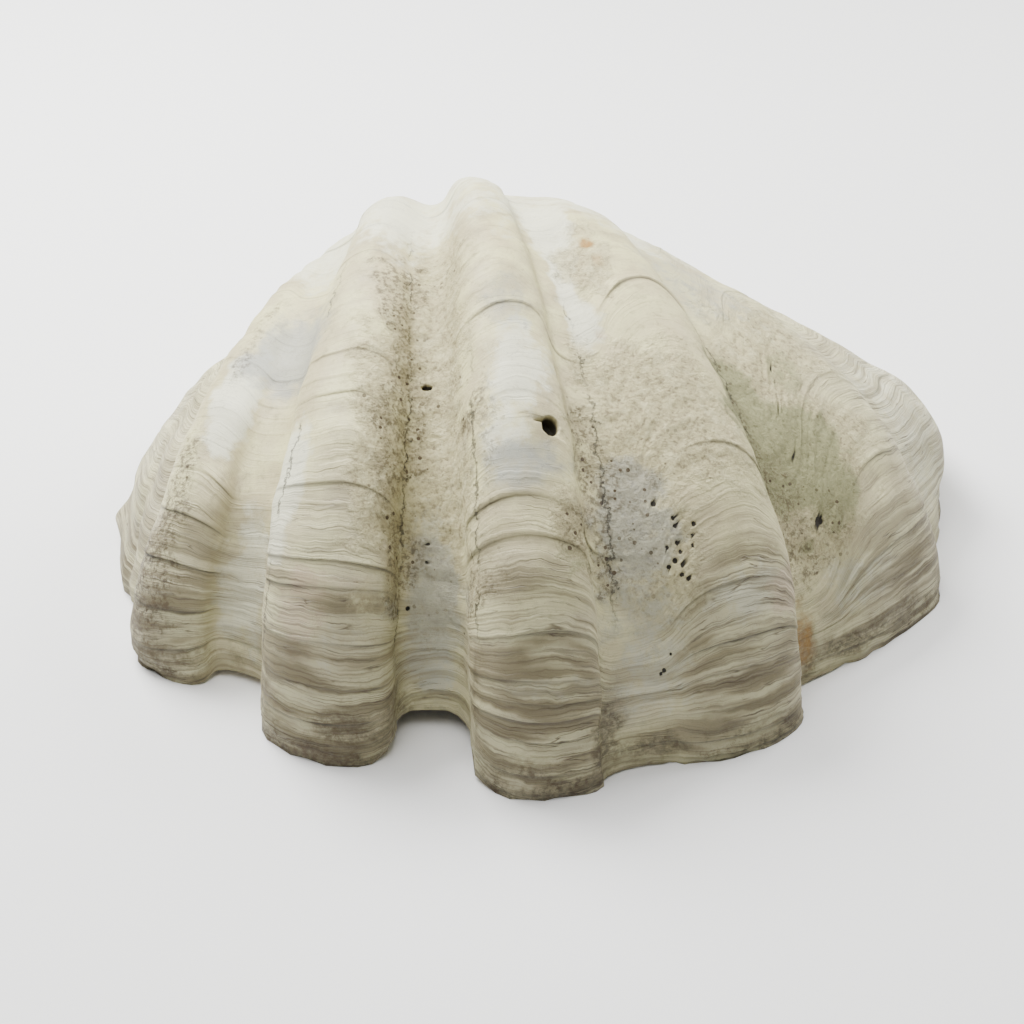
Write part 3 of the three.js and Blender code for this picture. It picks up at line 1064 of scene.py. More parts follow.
    def lined(self, place: np.ndarray, age: np.ndarray, points: np.ndarray) -> np.ndarray:
        """How clearly growth lines show: strong near the rim, and further up at both ends.

        Args:
            place: Place of each vertex.
            age: Age of each vertex.
            points: The smooth form, in millimetres.

        Returns:
            The strength of the lines at each vertex.
        """
        patchy = 7 * rough_field(points, 60.0, 3, 12.4)
        crests = (1 - smoothstep(age + patchy, 9, 34)) * (0.6 + 0.4 * self.form.ribness(place))
        oldest = 0.45 * smoothstep(age + patchy, 80, 105)
        ends = np.maximum(smoothstep(place, 12.4, 13.4), 1 - smoothstep(place, 4.0, 4.7))
        sides = 0.75 * ends * (1 - smoothstep(age + patchy, 35, 75))
        return 0.1 + 0.9 * np.maximum(np.maximum(crests, sides), oldest)

    def outward(self, points: np.ndarray) -> np.ndarray:
        """Unit normals of a skin of rows and columns that closes round its columns.

        Args:
            points: Points of the skin, row by row.

        Returns:
            One outward vector for each point.
        """
        looped = np.concatenate([points[:, -1:], points, points[:, :1]], axis=1)
        across = (looped[:, 2:] - looped[:, :-2]) / 2
        up = np.gradient(points, axis=0)
        normal = np.cross(across, up)
        return normal / np.maximum(np.linalg.norm(normal, axis=-1, keepdims=True), 1e-9)

    def tooth_drop(self, points: np.ndarray) -> np.ndarray:
        """How far the hinge teeth reach down from each point of the hinge plate.

        Args:
            points: Points of the rim and the hinge plate, in millimetres.

        Returns:
            The drop in millimetres.
        """
        drop = np.zeros(points.shape[:-1])
        for tooth in self.teeth:
            east = points[..., 0] - self.form.beak_across - tooth.across
            north = points[..., 1] - self.form.beak_behind + tooth.ahead
            angle = math.radians(tooth.turned)
            along = (east * math.cos(angle) + north * math.sin(angle)) / (tooth.length / 2)
            aside = (north * math.cos(angle) - east * math.sin(angle)) / (tooth.width / 2)
            drop = np.maximum(drop, self.tooth_height * np.sqrt(np.clip(1 - along**2 - aside**2, 0, 1)))
        return drop

    def outside_skin(self, places: np.ndarray, ages: np.ndarray) -> tuple[np.ndarray, dict[str, np.ndarray]]:
        """Points and surface marks of the outside, rows from the rim to the beak.

        Args:
            places: Places of the columns.
            ages: Ages of the rows.

        Returns:
            The points in millimetres and the named marks of each point.
        """
        place, age = np.meshgrid(places, ages)
        waver = np.stack([place * 1.3, age / 9.0, place * 0], axis=-1)
        drift = 0.8 * rough_field(waver, 1.0, 2, 2.4)
        drift = drift * smoothstep(age, 0, 6) * (1 - smoothstep(age, 100, 130))
        smooth = self.form.outside(place, age + drift)
        wear = self.wear(place, age, smooth)
        height, line = self.relief(place, age, smooth, wear[Wear.CHALK])
        crease_side, crease_shown, groove = self.creases(place, age, smooth)
        points = smooth + (height - groove)[..., None] * self.outward(smooth)
        marks = {
            "age": age,
            "ledge_shade_line": line,
            "outside": np.ones_like(age),
            "lined": self.lined(place, age, smooth),
            "crease_side": crease_side,
            "crease_shown": crease_shown,
        }
        marks.update({kind.name.lower(): strength for kind, strength in wear.items()})
        return points, marks

    def inside_skin(self, places: np.ndarray) -> np.ndarray:
        """Points of the hollow, rows from the rim to its top.

        Args:
            places: Places of the columns.

        Returns:
            The points in millimetres.
        """
        shares = np.linspace(0, 1, self.inside_rows) ** 1.15
        place, share = np.meshgrid(places, shares)
        smooth = self.form.inside(place, share)
        height = 1.6 * rough_field(smooth, 90.0, 2, 4.2) + 0.4 * rough_field(smooth, 24.0, 2, 9.9)
        settled = smoothstep(share, 0, 0.04) * (1 - smoothstep(share, 0.9, 1.0))
        pallial = 1.2 * np.exp(-(((share - 0.11) / 0.012) ** 2))
        return smooth + ((height + pallial) * settled)[..., None] * self.outward(smooth)

    def rim_skin(self, outer: np.ndarray, inner: np.ndarray) -> np.ndarray:
        """Points of the rim and the hinge plate, rows from the outer edge to the inner one.

        Args:
            outer: Outer edge of the rim.
            inner: Inner edge of the rim.

        Returns:
            The points in millimetres.
        """
        share = (np.arange(1, self.rim_rows) / self.rim_rows)[:, None, None]
        points = blend(outer[None], inner[None], share)
        drop = self.form.rim_roundness * np.sin(np.pi * share[..., 0])
        drop = drop + 0.8 * rough_field(points, 7.0, 2, 7.3) * np.sin(np.pi * share[..., 0])
        points[..., 2] -= drop + self.tooth_drop(points)
        return points

    def skin(self) -> tuple[np.ndarray, dict[str, np.ndarray]]:
        """Points of the closed skin in rows from the beak round the rim to the top of the hollow.

        Returns:
            The points in millimetres and the named marks of each point.
        """
        places, ages = self.column_places(), self.row_ages()
        outside, marks = self.outside_skin(places, ages)
        inside = self.inside_skin(places)
        rim = self.rim_skin(outside[0], inside[0])
        beak = np.broadcast_to(self.form.pole(0.0), (1, len(places), 3))
        top = np.broadcast_to(self.form.pole(self.form.hinge_plate), (1, len(places), 3))
        points = np.concatenate([beak, outside[::-1], rim, inside, top])
        points[..., 2] = np.maximum(points[..., 2], 0.0)
        plain_rows = len(rim) + len(inside) + 1
        full = {}
        for name, values in marks.items():
            edge = np.zeros((plain_rows, len(places)))
            # The rim takes the soil and stain colours of the lowest row, with their painted shade at the foot
            # of the lobes
            if name in ("brown", "tan", "grime"):
                edge[: len(rim)] = values[0]
            full[name] = np.concatenate([values[-1:], values[::-1], edge])
        return points, full

    def build(self) -> Object:
        """Makes the valve as one closed mesh that rides on the part.

        Returns:
            The mesh object, at the origin, with its marks as vertex attributes.
        """
        points, marks = self.skin()
        rows, columns = points.shape[:2]
        LOG.info("skin of %d rows and %d columns", rows, columns)
        shell = bmesh.new()
        bmesh.ops.create_grid(shell, x_segments=columns, y_segments=rows - 1, size=0.5)
        layers = {name: shell.verts.layers.float_color.new(name) for name in ("deposits", "tints", "stains")}
        floats = {name: shell.verts.layers.float.new(name) for name in MARKS}
        stacks = {
            name: np.stack([marks[kind.name.lower()] for kind in Wear if kind.value[0] == name], axis=-1)
            for name in layers
        }
        for vertex in shell.verts:
            column = round((vertex.co.x + 0.5) * columns) % columns
            row = round((vertex.co.y + 0.5) * (rows - 1))
            for name, layer in layers.items():
                vertex[layer] = (*stacks[name][row, column].tolist(), 1.0)
            for name, layer in floats.items():
                vertex[layer] = float(marks[name][row, column])
            vertex.co = Vector(points[row, column].tolist()) * MM
        bmesh.ops.remove_doubles(shell, verts=shell.verts[:], dist=SAME_POINT * MM)
        self.cut_holes(shell)
        bmesh.ops.recalc_face_normals(shell, faces=shell.faces[:])
        for face in shell.faces:
            face.smooth = True
        mesh = bpy.data.meshes.new("valve")
        shell.to_mesh(mesh)
        shell.free()
        valve = bpy.data.objects.new("valve", mesh)
        bpy.context.scene.collection.objects.link(valve)
        return valve

    def cut_holes(self, shell: bmesh.types.BMesh) -> None:
        """Sinks each borer hole and pit into the outside.

        Args:
            shell: The merged mesh, in metres.
        """
        holes = [*HOLES, *(hole for cluster in PIT_CLUSTERS for hole in cluster.holes())]
        depth_share = shell.verts.layers.float.new("hole")
        outside = shell.verts.layers.float["outside"]
        axes = [[Vector(part.tolist()) for part in self.form.axes(hole.place, hole.age)] for hole in holes]
        centres = KDTree(len(holes))
        for index, (centre, *_) in enumerate(axes):
            centres.insert(centre * MM, index)
        centres.balance()

        def near_hole(vertex: bmesh.types.BMVert, margin: float) -> bool:
            """Whether a vertex of the outside lies within a margin in mm of a hole."""
            if vertex[outside] < 0.5:
                return False
            _, index, distance = centres.find(vertex.co)
            return distance < (0.6 * max(holes[index].width, holes[index].length) + margin) * MM

        for finest, margin in self.hole_passes:
            close = {vertex for vertex in shell.verts if near_hole(vertex, margin)}
            edges = [
                edge
                for edge in shell.edges
                if edge.verts[0] in close and edge.verts[1] in close and edge.calc_length() > finest * MM
            ]
            bmesh.ops.subdivide_edges(shell, edges=edges, cuts=1, use_grid_fill=True)
        widest = max(max(hole.width, hole.length) for hole in holes)
        for vertex in [vertex for vertex in shell.verts if near_hole(vertex, 2.0)]:
            moved = Vector((0.0, 0.0, 0.0))
            for _, index, _ in centres.find_range(vertex.co, widest * MM):
                hole, (centre, across, up, outward) = holes[index], axes[index]
                offset = vertex.co / MM - centre
                aside = offset.dot(across) / (hole.width / 2)
                along = offset.dot(up) / (hole.length / 2)
                sunk = 1 - float(smoothstep(math.hypot(aside, along), *self.hole_wall))
                # How strongly the hole is painted dark as its shade, more in deeper holes
                vertex[depth_share] = max(vertex[depth_share], sunk * min(1.0, 0.45 + hole.depth / 12))
                if sunk * hole.depth * MM > moved.length:
                    moved = outward * (sunk * hole.depth * MM)
            vertex.co -= moved


@dataclass
class NodeSketch:
    """Short way to add nodes to a tree and join them."""

    tree: NodeTree

    def add(self, kind: str, **settings: object) -> Node:
        """A new node of a type, with some of its settings given."""
        node = self.tree.nodes.new(kind)
        for name, value in settings.items():
            setattr(node, name, value)
        return node

    def feed(self, socket: NodeSocket, value: object) -> None:
        """Joins a socket to another one, or gives it a plain value."""
        if isinstance(value, NodeSocket):
            self.tree.links.new(value, socket)
        else:
            socket.default_value = value

    def maths(self, operation: str, *values: object, clamp: bool = False) -> NodeSocket:
        """Result of a Math node on sockets or numbers."""
        node = self.add("ShaderNodeMath", operation=operation, use_clamp=clamp)
        for socket, value in zip(node.inputs, values):
            self.feed(socket, value)
        return node.outputs[0]

    def mix(self, share: object, start: object, end: object) -> NodeSocket:
        """Colour that lies a share of the way from start to end.

        Args:
            share: Socket or number from 0 to 1.
            start: Colour at 0.
            end: Colour at 1.

        Returns:
            The mixed colour.
        """
        node = self.add("ShaderNodeMix", data_type="RGBA", blend_type="MIX", clamp_factor=True)
        self.feed(node.inputs["Factor"], share)
        self.feed(node.inputs[6], start)
        self.feed(node.inputs[7], end)
        return node.outputs[2]

    def times(self, *factors: object) -> object:
        """Product of sockets and numbers."""
        product = factors[0]
        for factor in factors[1:]:
            product = self.maths("MULTIPLY", product, factor)
        return product

    def span(
        self, value: NodeSocket, low: float, high: float, to_low: float = 0.0, to_high: float = 1.0
    ) -> NodeSocket:
        """A value mapped smoothly from one range to another and held within it.

        Args:
            value: The value.
            low: Start of its range.
            high: End of its range.
            to_low: Result at the start.
            to_high: Result at the end.

        Returns:
            The mapped value.
        """
        node = self.add("ShaderNodeMapRange", interpolation_type="SMOOTHSTEP")
        limits = {"From Min": low, "From Max": high, "To Min": to_low, "To Max": to_high}
        for name, number in {"Value": value, **limits}.items():
            self.feed(node.inputs[name], number)
        return node.outputs["Result"]

    def grain(
        self, vector: object, scale: float, detail: float = 2.0, roughness: float = 0.5, along: object = None
    ) -> NodeSocket:
        """Noise around 0.5 at a scale, in four dimensions when a fourth value is given.

        Args:
            vector: Place that the noise is read at.
            scale: Lumps for each metre.
            detail: Number of finer layers.
            roughness: Strength of the finer layers.
            along: Fourth value, or None.

        Returns:
            The noise.
        """
        node = self.add("ShaderNodeTexNoise", noise_dimensions="3D" if along is None else "4D")
        self.feed(node.inputs["Vector"], vector)
        self.feed(node.inputs["Scale"], scale)
        self.feed(node.inputs["Detail"], detail)
        self.feed(node.inputs["Roughness"], roughness)
        if along is not None:
            self.feed(node.inputs["W"], along)
        return node.outputs["Fac"]

    def contour(self, value: NodeSocket, level: float, width: float) -> NodeSocket:
        """Thin line where a value passes a level, 1 on the line and 0 away from it."""
        away = self.maths("ABSOLUTE", self.maths("SUBTRACT", value, level))
        return self.span(away, 0.0, width, 1.0, 0.0)

    def stretched(self, vector: NodeSocket, scale: tuple[float, float, float]) -> NodeSocket:
        """A vector with each axis scaled."""
        node = self.add("ShaderNodeMapping", vector_type="POINT")
        self.feed(node.inputs["Vector"], vector)
        self.feed(node.inputs["Scale"], scale)
        return node.outputs["Vector"]

    def mark(self, name: str) -> NodeSocket:
        """Value that an attribute of the mesh holds."""
        return self.add("ShaderNodeAttribute", attribute_name=name).outputs["Fac"]

    def wear(self) -> dict[Wear, NodeSocket]:
        """Strength of each kind of wear, from the colour attributes of the mesh.

        Returns:
            One socket for each kind.
        """
        strengths = {}
        for name in sorted({kind.value[0] for kind in Wear}):
            parts = self.add("ShaderNodeSeparateColor")
            layer = self.add("ShaderNodeAttribute", attribute_name=name)
            self.feed(parts.inputs[0], layer.outputs["Color"])
            strengths.update({kind: parts.outputs[kind.value[1]] for kind in Wear if kind.value[0] == name})
        return strengths

    def group(self, tree: NodeTree, **inputs: NodeSocket) -> Node:
        """Use of a node group, with its inputs joined.

        Args:
            tree: The group.
            inputs: What each of its inputs is joined to.

        Returns:
            The node.
        """
        node = self.add("ShaderNodeGroup", node_tree=tree)
        for name, value in inputs.items():
            self.feed(node.inputs[name], value)
        return node

    def bump(self, height: NodeSocket, strength: float, depth: float) -> NodeSocket:
        """Normal of a surface whose relief follows a height.

        Args:
            height: The height.
            strength: How strongly it shows.
            depth: Its depth in metres.

        Returns:
            The bent normal.
        """
        node = self.add("ShaderNodeBump")
        for name, value in {"Height": height, "Strength": strength, "Distance": depth}.items():
            self.feed(node.inputs[name], value)
        return node.outputs["Normal"]


def new_group(name: str, inputs: dict[str, str], outputs: dict[str, str]) -> tuple[NodeTree, Node, Node]:
    """Empty node group with named sockets.

    Args:
        name: Name of the group.
        inputs: Socket type of each named input.
        outputs: Socket type of each named output.

    Returns:
        The group, its input node and its output node.
    """
    group = bpy.data.node_groups.new(name, "ShaderNodeTree")
    for title, kind in inputs.items():
        group.interface.new_socket(title, in_out="INPUT", socket_type=kind)
    for title, kind in outputs.items():
        group.interface.new_socket(title, in_out="OUTPUT", socket_type=kind)
    return group, group.nodes.new("NodeGroupInput"), group.nodes.new("NodeGroupOutput")


@dataclass(frozen=True)
class GrowthLines:
    """Fine growth lines that follow the age of the shell, crowded in some bands and faint in others."""

    fine_per_degree: float = 5.0
    hairs_per_degree: float = 1.9
    bands_per_degree: float = 0.7
    run: float = 12.0

    def group(self) -> NodeTree:
        """Builds the node group once.

        Returns:
            A group from a place and an age to masks of lines and bands, and their height.
        """
        group, given, result = new_group(
            "growth_lines",
            {"Vector": "NodeSocketVector", "Age": "NodeSocketFloat"},
            {name: "NodeSocketFloat" for name in ("Fine", "Hairs", "Bands", "Height")},
        )
        sketch = NodeSketch(group)
        place, age = given.outputs["Vector"], given.outputs["Age"]
        sway = sketch.maths("MULTIPLY_ADD", sketch.grain(place, 9.0, 2.0), 1.8, age)
        bent = sketch.maths("MULTIPLY_ADD", sketch.grain(place, 60.0, 3.0), 0.8, sway)
        slow = sketch.stretched(place, (self.run, self.run, self.run))
        fine = sketch.grain(slow, 1.0, 2.0, 0.6, sketch.maths("MULTIPLY", bent, self.fine_per_degree))
        hairs = sketch.grain(slow, 1.0, 1.0, 0.5, sketch.maths("MULTIPLY", bent, self.hairs_per_degree))
        bands = sketch.grain(slow, 1.0, 2.0, 0.5, sketch.maths("MULTIPLY", bent, self.bands_per_degree))
        broken = sketch.span(sketch.grain(place, 34.0, 3.0), 0.38, 0.58)
        hair = sketch.maths("MULTIPLY", sketch.contour(hairs, 0.56, 0.022), broken)
        sketch.feed(result.inputs["Fine"], sketch.span(fine, 0.44, 0.68))
        sketch.feed(result.inputs["Hairs"], hair)
        sketch.feed(result.inputs["Bands"], sketch.span(bands, 0.4, 0.62))
        steps = sketch.span(hairs, 0.5, 0.62)
        groove = sketch.maths("MULTIPLY_ADD", hair, -0.6, sketch.maths("MULTIPLY", steps, 0.7))
        sketch.feed(result.inputs["Height"], sketch.maths("MULTIPLY_ADD", fine, -0.9, groove))
        return group


@dataclass(frozen=True)
class Weathering:
    """Clouds, dark scribbles, pits and crust of a shell that has lain in the open."""

    def group(self) -> NodeTree:
        """Builds the node group once.

        Returns:
            A group from a place to masks of each kind of weathering, and their height.
        """
        group, given, result = new_group(
            "weathering",
            {"Vector": "NodeSocketVector"},
            {
                name: "NodeSocketFloat"
                for name in ("Clouds", "Smudges", "Mottle", "Grit", "Scribbles", "Pits", "Crust", "Height")
            },
        )
        sketch = NodeSketch(group)
        place = given.outputs["Vector"]
        clouds = sketch.grain(place, 24.0, 5.0, 0.62)
        smudges = sketch.grain(place, 17.0, 6.0, 0.68)
        mottle = sketch.grain(place, 95.0, 5.0, 0.66)
        grit = sketch.grain(place, 520.0, 3.0, 0.6)
        crust = sketch.grain(place, 230.0, 5.0, 0.7)
        worms = sketch.contour(sketch.grain(place, 130.0, 4.0, 0.6), 0.5, 0.014)
        where = sketch.span(sketch.grain(place, 62.0, 3.0), 0.5, 0.62)
        cells = sketch.add("ShaderNodeTexVoronoi", feature="F1")
        sketch.feed(cells.inputs["Vector"], place)
        sketch.feed(cells.inputs["Scale"], 170.0)
        seldom = sketch.add("ShaderNodeSeparateColor")
        sketch.feed(seldom.inputs[0], cells.outputs["Color"])
        wide = sketch.span(seldom.outputs[0], 0.55, 1.0, 0.0, 0.3)
        pits = sketch.maths("LESS_THAN", cells.outputs["Distance"], wide)
        sketch.feed(result.inputs["Clouds"], sketch.span(clouds, 0.36, 0.64))
        sketch.feed(result.inputs["Smudges"], sketch.span(smudges, 0.5, 0.72))
        sketch.feed(result.inputs["Mottle"], mottle)
        sketch.feed(result.inputs["Grit"], grit)
        sketch.feed(result.inputs["Scribbles"], sketch.maths("MULTIPLY", worms, where))
        sketch.feed(result.inputs["Pits"], pits)
        sketch.feed(result.inputs["Crust"], crust)
        uneven = sketch.maths("MULTIPLY_ADD", grit, 0.35, sketch.maths("MULTIPLY", mottle, 0.9))
        lumps = sketch.maths("MULTIPLY_ADD", crust, 1.6, uneven)
        sketch.feed(result.inputs["Height"], sketch.maths("MULTIPLY_ADD", worms, -0.25, lumps))
        return group


Colour = tuple[float, float, float, float]


def srgb(red: int, green: int, blue: int) -> Colour:
    """Linear colour of three 0 to 255 values.

    Args:
        red: Red channel.
        green: Green channel.
        blue: Blue channel.

    Returns:
        The linear colour with full alpha.
    """

    def linear(value: int) -> float:
        """One channel made linear."""
        share = value / 255
        return share / 12.92 if share <= 0.04045 else ((share + 0.055) / 1.055) ** 2.4

    return linear(red), linear(green), linear(blue), 1.0


@dataclass
class Paint:
    """Colour of the outside as it is laid in coats, with the patterns and marks that they share."""

    sketch: NodeSketch
    growth: Node
    worn: Node
    wear: dict[Wear, NodeSocket]
    lined: NodeSocket
    colour: object

    @property
    def mottle(self) -> NodeSocket:
        """Middle-sized mottle of the weathering."""
        return self.worn.outputs["Mottle"]

    @property
    def crust(self) -> NodeSocket:
        """Fine crumbly pattern of the weathering."""
        return self.worn.outputs["Crust"]

    def ragged(self, kind: Wear, low: float = 0.25, high: float = 0.7) -> NodeSocket:
        """Strength of a kind of wear broken up by the mottle, so that its edge isn't soft.

        Args:
            kind: The kind of wear.
            low: Strength where it starts to show.
            high: Strength where it is full.

        Returns:
            The broken strength, from 0 to 1.
        """
        offset = self.sketch.maths("SUBTRACT", self.mottle, 0.5)
        uneven = self.sketch.maths("MULTIPLY_ADD", offset, 1.1, self.wear[kind])
        return self.sketch.span(uneven, low, high)

    def coat(self, tone: object, *masks: NodeSocket, strength: float = 1.0) -> None:
        """Lays a tone where all the masks are, up to a strength.

        Args:
            tone: Colour or socket of the coat.
            masks: Where it lies.
            strength: How much it covers.
        """
        factors = masks if strength == 1.0 else (*masks, strength)
        self.colour = self.sketch.mix(self.sketch.times(*factors), self.colour, tone)


@dataclass(frozen=True)
class OutsideFinish:
    """Weathered outside: cream shell with tawny bands, dark growth lines and patches of wear, and painted
    shade towards the rim, at the foot of the lobes, in the creases, under the ledges and in the holes.
    """

    pale: Colour = srgb(211, 205, 150)
    cream: Colour = srgb(188, 177, 134)
    smudge: Colour = srgb(158, 147, 114)
    white: Colour = srgb(222, 222, 196)
    fresh: Colour = srgb(205, 202, 175)
    band: Colour = srgb(136, 126, 96)
    line: Colour = srgb(84, 73, 54)
    # Near-black painted shade for the creases, under the ledges and in the holes
    shade_black: Colour = srgb(26, 21, 15)
    chalk: Colour = srgb(178, 169, 127)
    chalk_light: Colour = srgb(205, 199, 157)
    chalk_dark: Colour = srgb(118, 107, 78)
    # Dark soil, also laid as painted shade at the foot of the ribs and in the creases
    grime: Colour = srgb(74, 61, 40)
    algae: Colour = srgb(112, 117, 76)
    pink: Colour = srgb(198, 163, 138)
    grey: Colour = srgb(148, 151, 146)
    # Tawny colour of the lower shell, also standing for painted shade under the lobes
    tan: Colour = srgb(108, 98, 70)
    # Dark stain colour, also laid as painted shade at the foot of the lobes
    brown: Colour = srgb(76, 65, 43)
    rust: Colour = srgb(150, 106, 34)
    roughness: float = 0.6
    bump: float = 0.9
    bump_depth: float = 0.0012
    crease_width: float = 2.2
    crease_wriggle: float = 26.0

    def material(self, lines: NodeTree, weathering: NodeTree) -> Material:
        """Builds the material.

        Args:
            lines: The growth line group.
            weathering: The weathering group.

        Returns:
            The finished material.
        """
        material = bpy.data.materials.new("weathered_outside")
        material.use_nodes = True
        sketch = NodeSketch(material.node_tree)
        shader = material.node_tree.nodes["Principled BSDF"]
        place = sketch.add("ShaderNodeTexCoord").outputs["Object"]
        growth = sketch.group(lines, Vector=place, Age=sketch.mark("age"))
        worn = sketch.group(weathering, Vector=place)
        paint = Paint(sketch, growth, worn, sketch.wear(), sketch.mark("lined"), self.cream)
        chalky = paint.ragged(Wear.CHALK, 0.1, 0.85)
        bare = sketch.maths("MULTIPLY_ADD", chalky, -0.85, 1.0)
        self.lay_ground(paint)
        self.lay_growth(paint, bare)
        self.lay_chalk(paint, chalky)
        self.lay_dirt_and_shade(paint)
        self.lay_painted_shade(paint)
        sketch.feed(shader.inputs["Base Color"], paint.colour)
        rough = sketch.span(paint.mottle, 0.3, 0.7, self.roughness - 0.07, self.roughness + 0.1)
        rough = sketch.maths("MULTIPLY_ADD", paint.wear[Wear.CHALK], 0.2, rough, clamp=True)
        sketch.feed(shader.inputs["Roughness"], rough)
        ridges = sketch.maths("MULTIPLY_ADD", paint.lined, 0.9, 0.1)
        crumbs = sketch.maths("MAXIMUM", chalky, paint.wear[Wear.GRIME])
        crumbs = sketch.maths("MULTIPLY_ADD", crumbs, 0.9, 0.12)
        ridged = sketch.times(growth.outputs["Height"], bare, ridges)
        crusted = sketch.times(worn.outputs["Height"], crumbs)
        normal = sketch.bump(sketch.maths("ADD", ridged, crusted), self.bump, self.bump_depth)
        sketch.feed(shader.inputs["Normal"], normal)
        return material

    def lay_ground(self, paint: Paint) -> None:
        """Bare shell, with clouds, smudges, and white, blue-grey and pink stretches.

        Args:
            paint: The colour so far.
        """
        paint.coat(self.pale, paint.worn.outputs["Clouds"])
        paint.coat(self.band, paint.sketch.span(paint.mottle, 0.5, 0.68), strength=0.35)
        paint.coat(self.smudge, paint.worn.outputs["Smudges"], strength=0.85)
        paint.coat(self.white, paint.ragged(Wear.WHITE), strength=0.85)
        paint.coat(self.grey, paint.ragged(Wear.GREY, 0.1, 1.0), strength=0.75)
        paint.coat(self.pink, paint.ragged(Wear.PINK), strength=0.7)

    def lay_growth(self, paint: Paint, bare: NodeSocket) -> None:
        """Younger shell with its bands, stain colours, fine lines and hairs; the stain colours near the rim
        are partly painted shade, towards the rim and at the foot of the lobes.

        Args:
            paint: The colour so far.
            bare: Where no chalk hides the lines.
        """
        sketch, bands = paint.sketch, paint.growth.outputs["Bands"]
        paint.coat(self.fresh, paint.lined, strength=0.45)
        paint.coat(self.band, bands, paint.lined, bare, strength=0.6)
        # Tawny colour and painted shade towards the rim
        paint.coat(self.tan, paint.wear[Wear.TAN], sketch.span(bands, 0.0, 1.0, 0.35, 0.9))
        paint.coat(self.algae, paint.ragged(Wear.ALGAE), strength=0.6)
        crumbled = sketch.span(paint.crust, 0.3, 0.62, 0.3, 0.9)
        # Stains, and painted shade at the foot of the lobes
        paint.coat(self.brown, paint.ragged(Wear.BROWN, 0.1, 1.1), crumbled)
        paint.coat(self.line, paint.growth.outputs["Fine"], paint.lined, bare, strength=0.62)
        fading = sketch.maths("MULTIPLY_ADD", paint.lined, 0.8, 0.08)
        paint.coat(self.line, paint.growth.outputs["Hairs"], fading, bare)

    def lay_chalk(self, paint: Paint, chalky: NodeSocket) -> None:
        """Rough chalk, with its own light and dark crumbs and its grey and green tints.

        Args:
            paint: The colour so far.
            chalky: Where the chalk lies.
        """
        sketch = paint.sketch
        chalk = replace(paint, colour=self.chalk_dark)
        chalk.coat(self.chalk, sketch.span(paint.crust, 0.3, 0.56))
        chalk.coat(self.chalk_light, sketch.span(paint.mottle, 0.44, 0.7), strength=0.8)
        chalk.coat(self.grey, paint.ragged(Wear.GREY), strength=0.5)
        chalk.coat(self.algae, paint.ragged(Wear.ALGAE), strength=0.62)
        paint.coat(chalk.colour, chalky, strength=0.9)

    def lay_dirt_and_shade(self, paint: Paint) -> None:
        """Scribbles, pits, soiled stretches, grit and rust; the soiled stretches are partly painted shade, at
        the foot of the ribs and in the creases.

        Args:
            paint: The colour so far.
        """
        sketch, grime = paint.sketch, paint.wear[Wear.GRIME]
        paint.coat(self.grime, paint.worn.outputs["Scribbles"], sketch.maths("MULTIPLY_ADD", grime, 0.7, 0.3))
        pitted = sketch.maths("MULTIPLY_ADD", paint.wear[Wear.CHALK], 0.45, grime, clamp=True)
        paint.coat(self.grime, paint.worn.outputs["Pits"], pitted)
        # Soiled stretches: dirt, and painted shade at the foot of the ribs and in the creases
        paint.coat(self.grime, sketch.span(paint.crust, 0.42, 0.6), paint.ragged(Wear.GRIME), strength=0.75)
        paint.coat(self.line, sketch.span(paint.worn.outputs["Grit"], 0.6, 0.72), strength=0.25)
        paint.coat(self.rust, paint.ragged(Wear.RUST, 0.1, 1.0), strength=0.85)

    def lay_painted_shade(self, paint: Paint) -> None:
        """Painted shade: dark lines in the creases, mixed with dirt there, under the ledges, and in the
        holes.

        Args:
            paint: The colour so far.
        """
        sketch = paint.sketch
        offset = sketch.maths("SUBTRACT", paint.mottle, 0.5)
        wriggling = sketch.maths("MULTIPLY_ADD", offset, self.crease_wriggle, sketch.mark("crease_side"))
        broken = sketch.span(sketch.maths("ADD", paint.crust, paint.worn.outputs["Clouds"]), 0.6, 1.1)
        crease = sketch.contour(wriggling, 0.0, self.crease_width)
        # Painted shade and dirt in the creases at the foot of the flanks
        paint.coat(self.shade_black, crease, broken, sketch.mark("crease_shown"), strength=0.8)
        # Painted shade just under each ledge
        paint.coat(self.shade_black, sketch.mark("ledge_shade_line"), strength=0.85)
        # Painted shade in the holes and pits, darker in deeper ones
        paint.coat(self.shade_black, sketch.span(sketch.mark("hole"), 0.12, 0.5), strength=0.95)


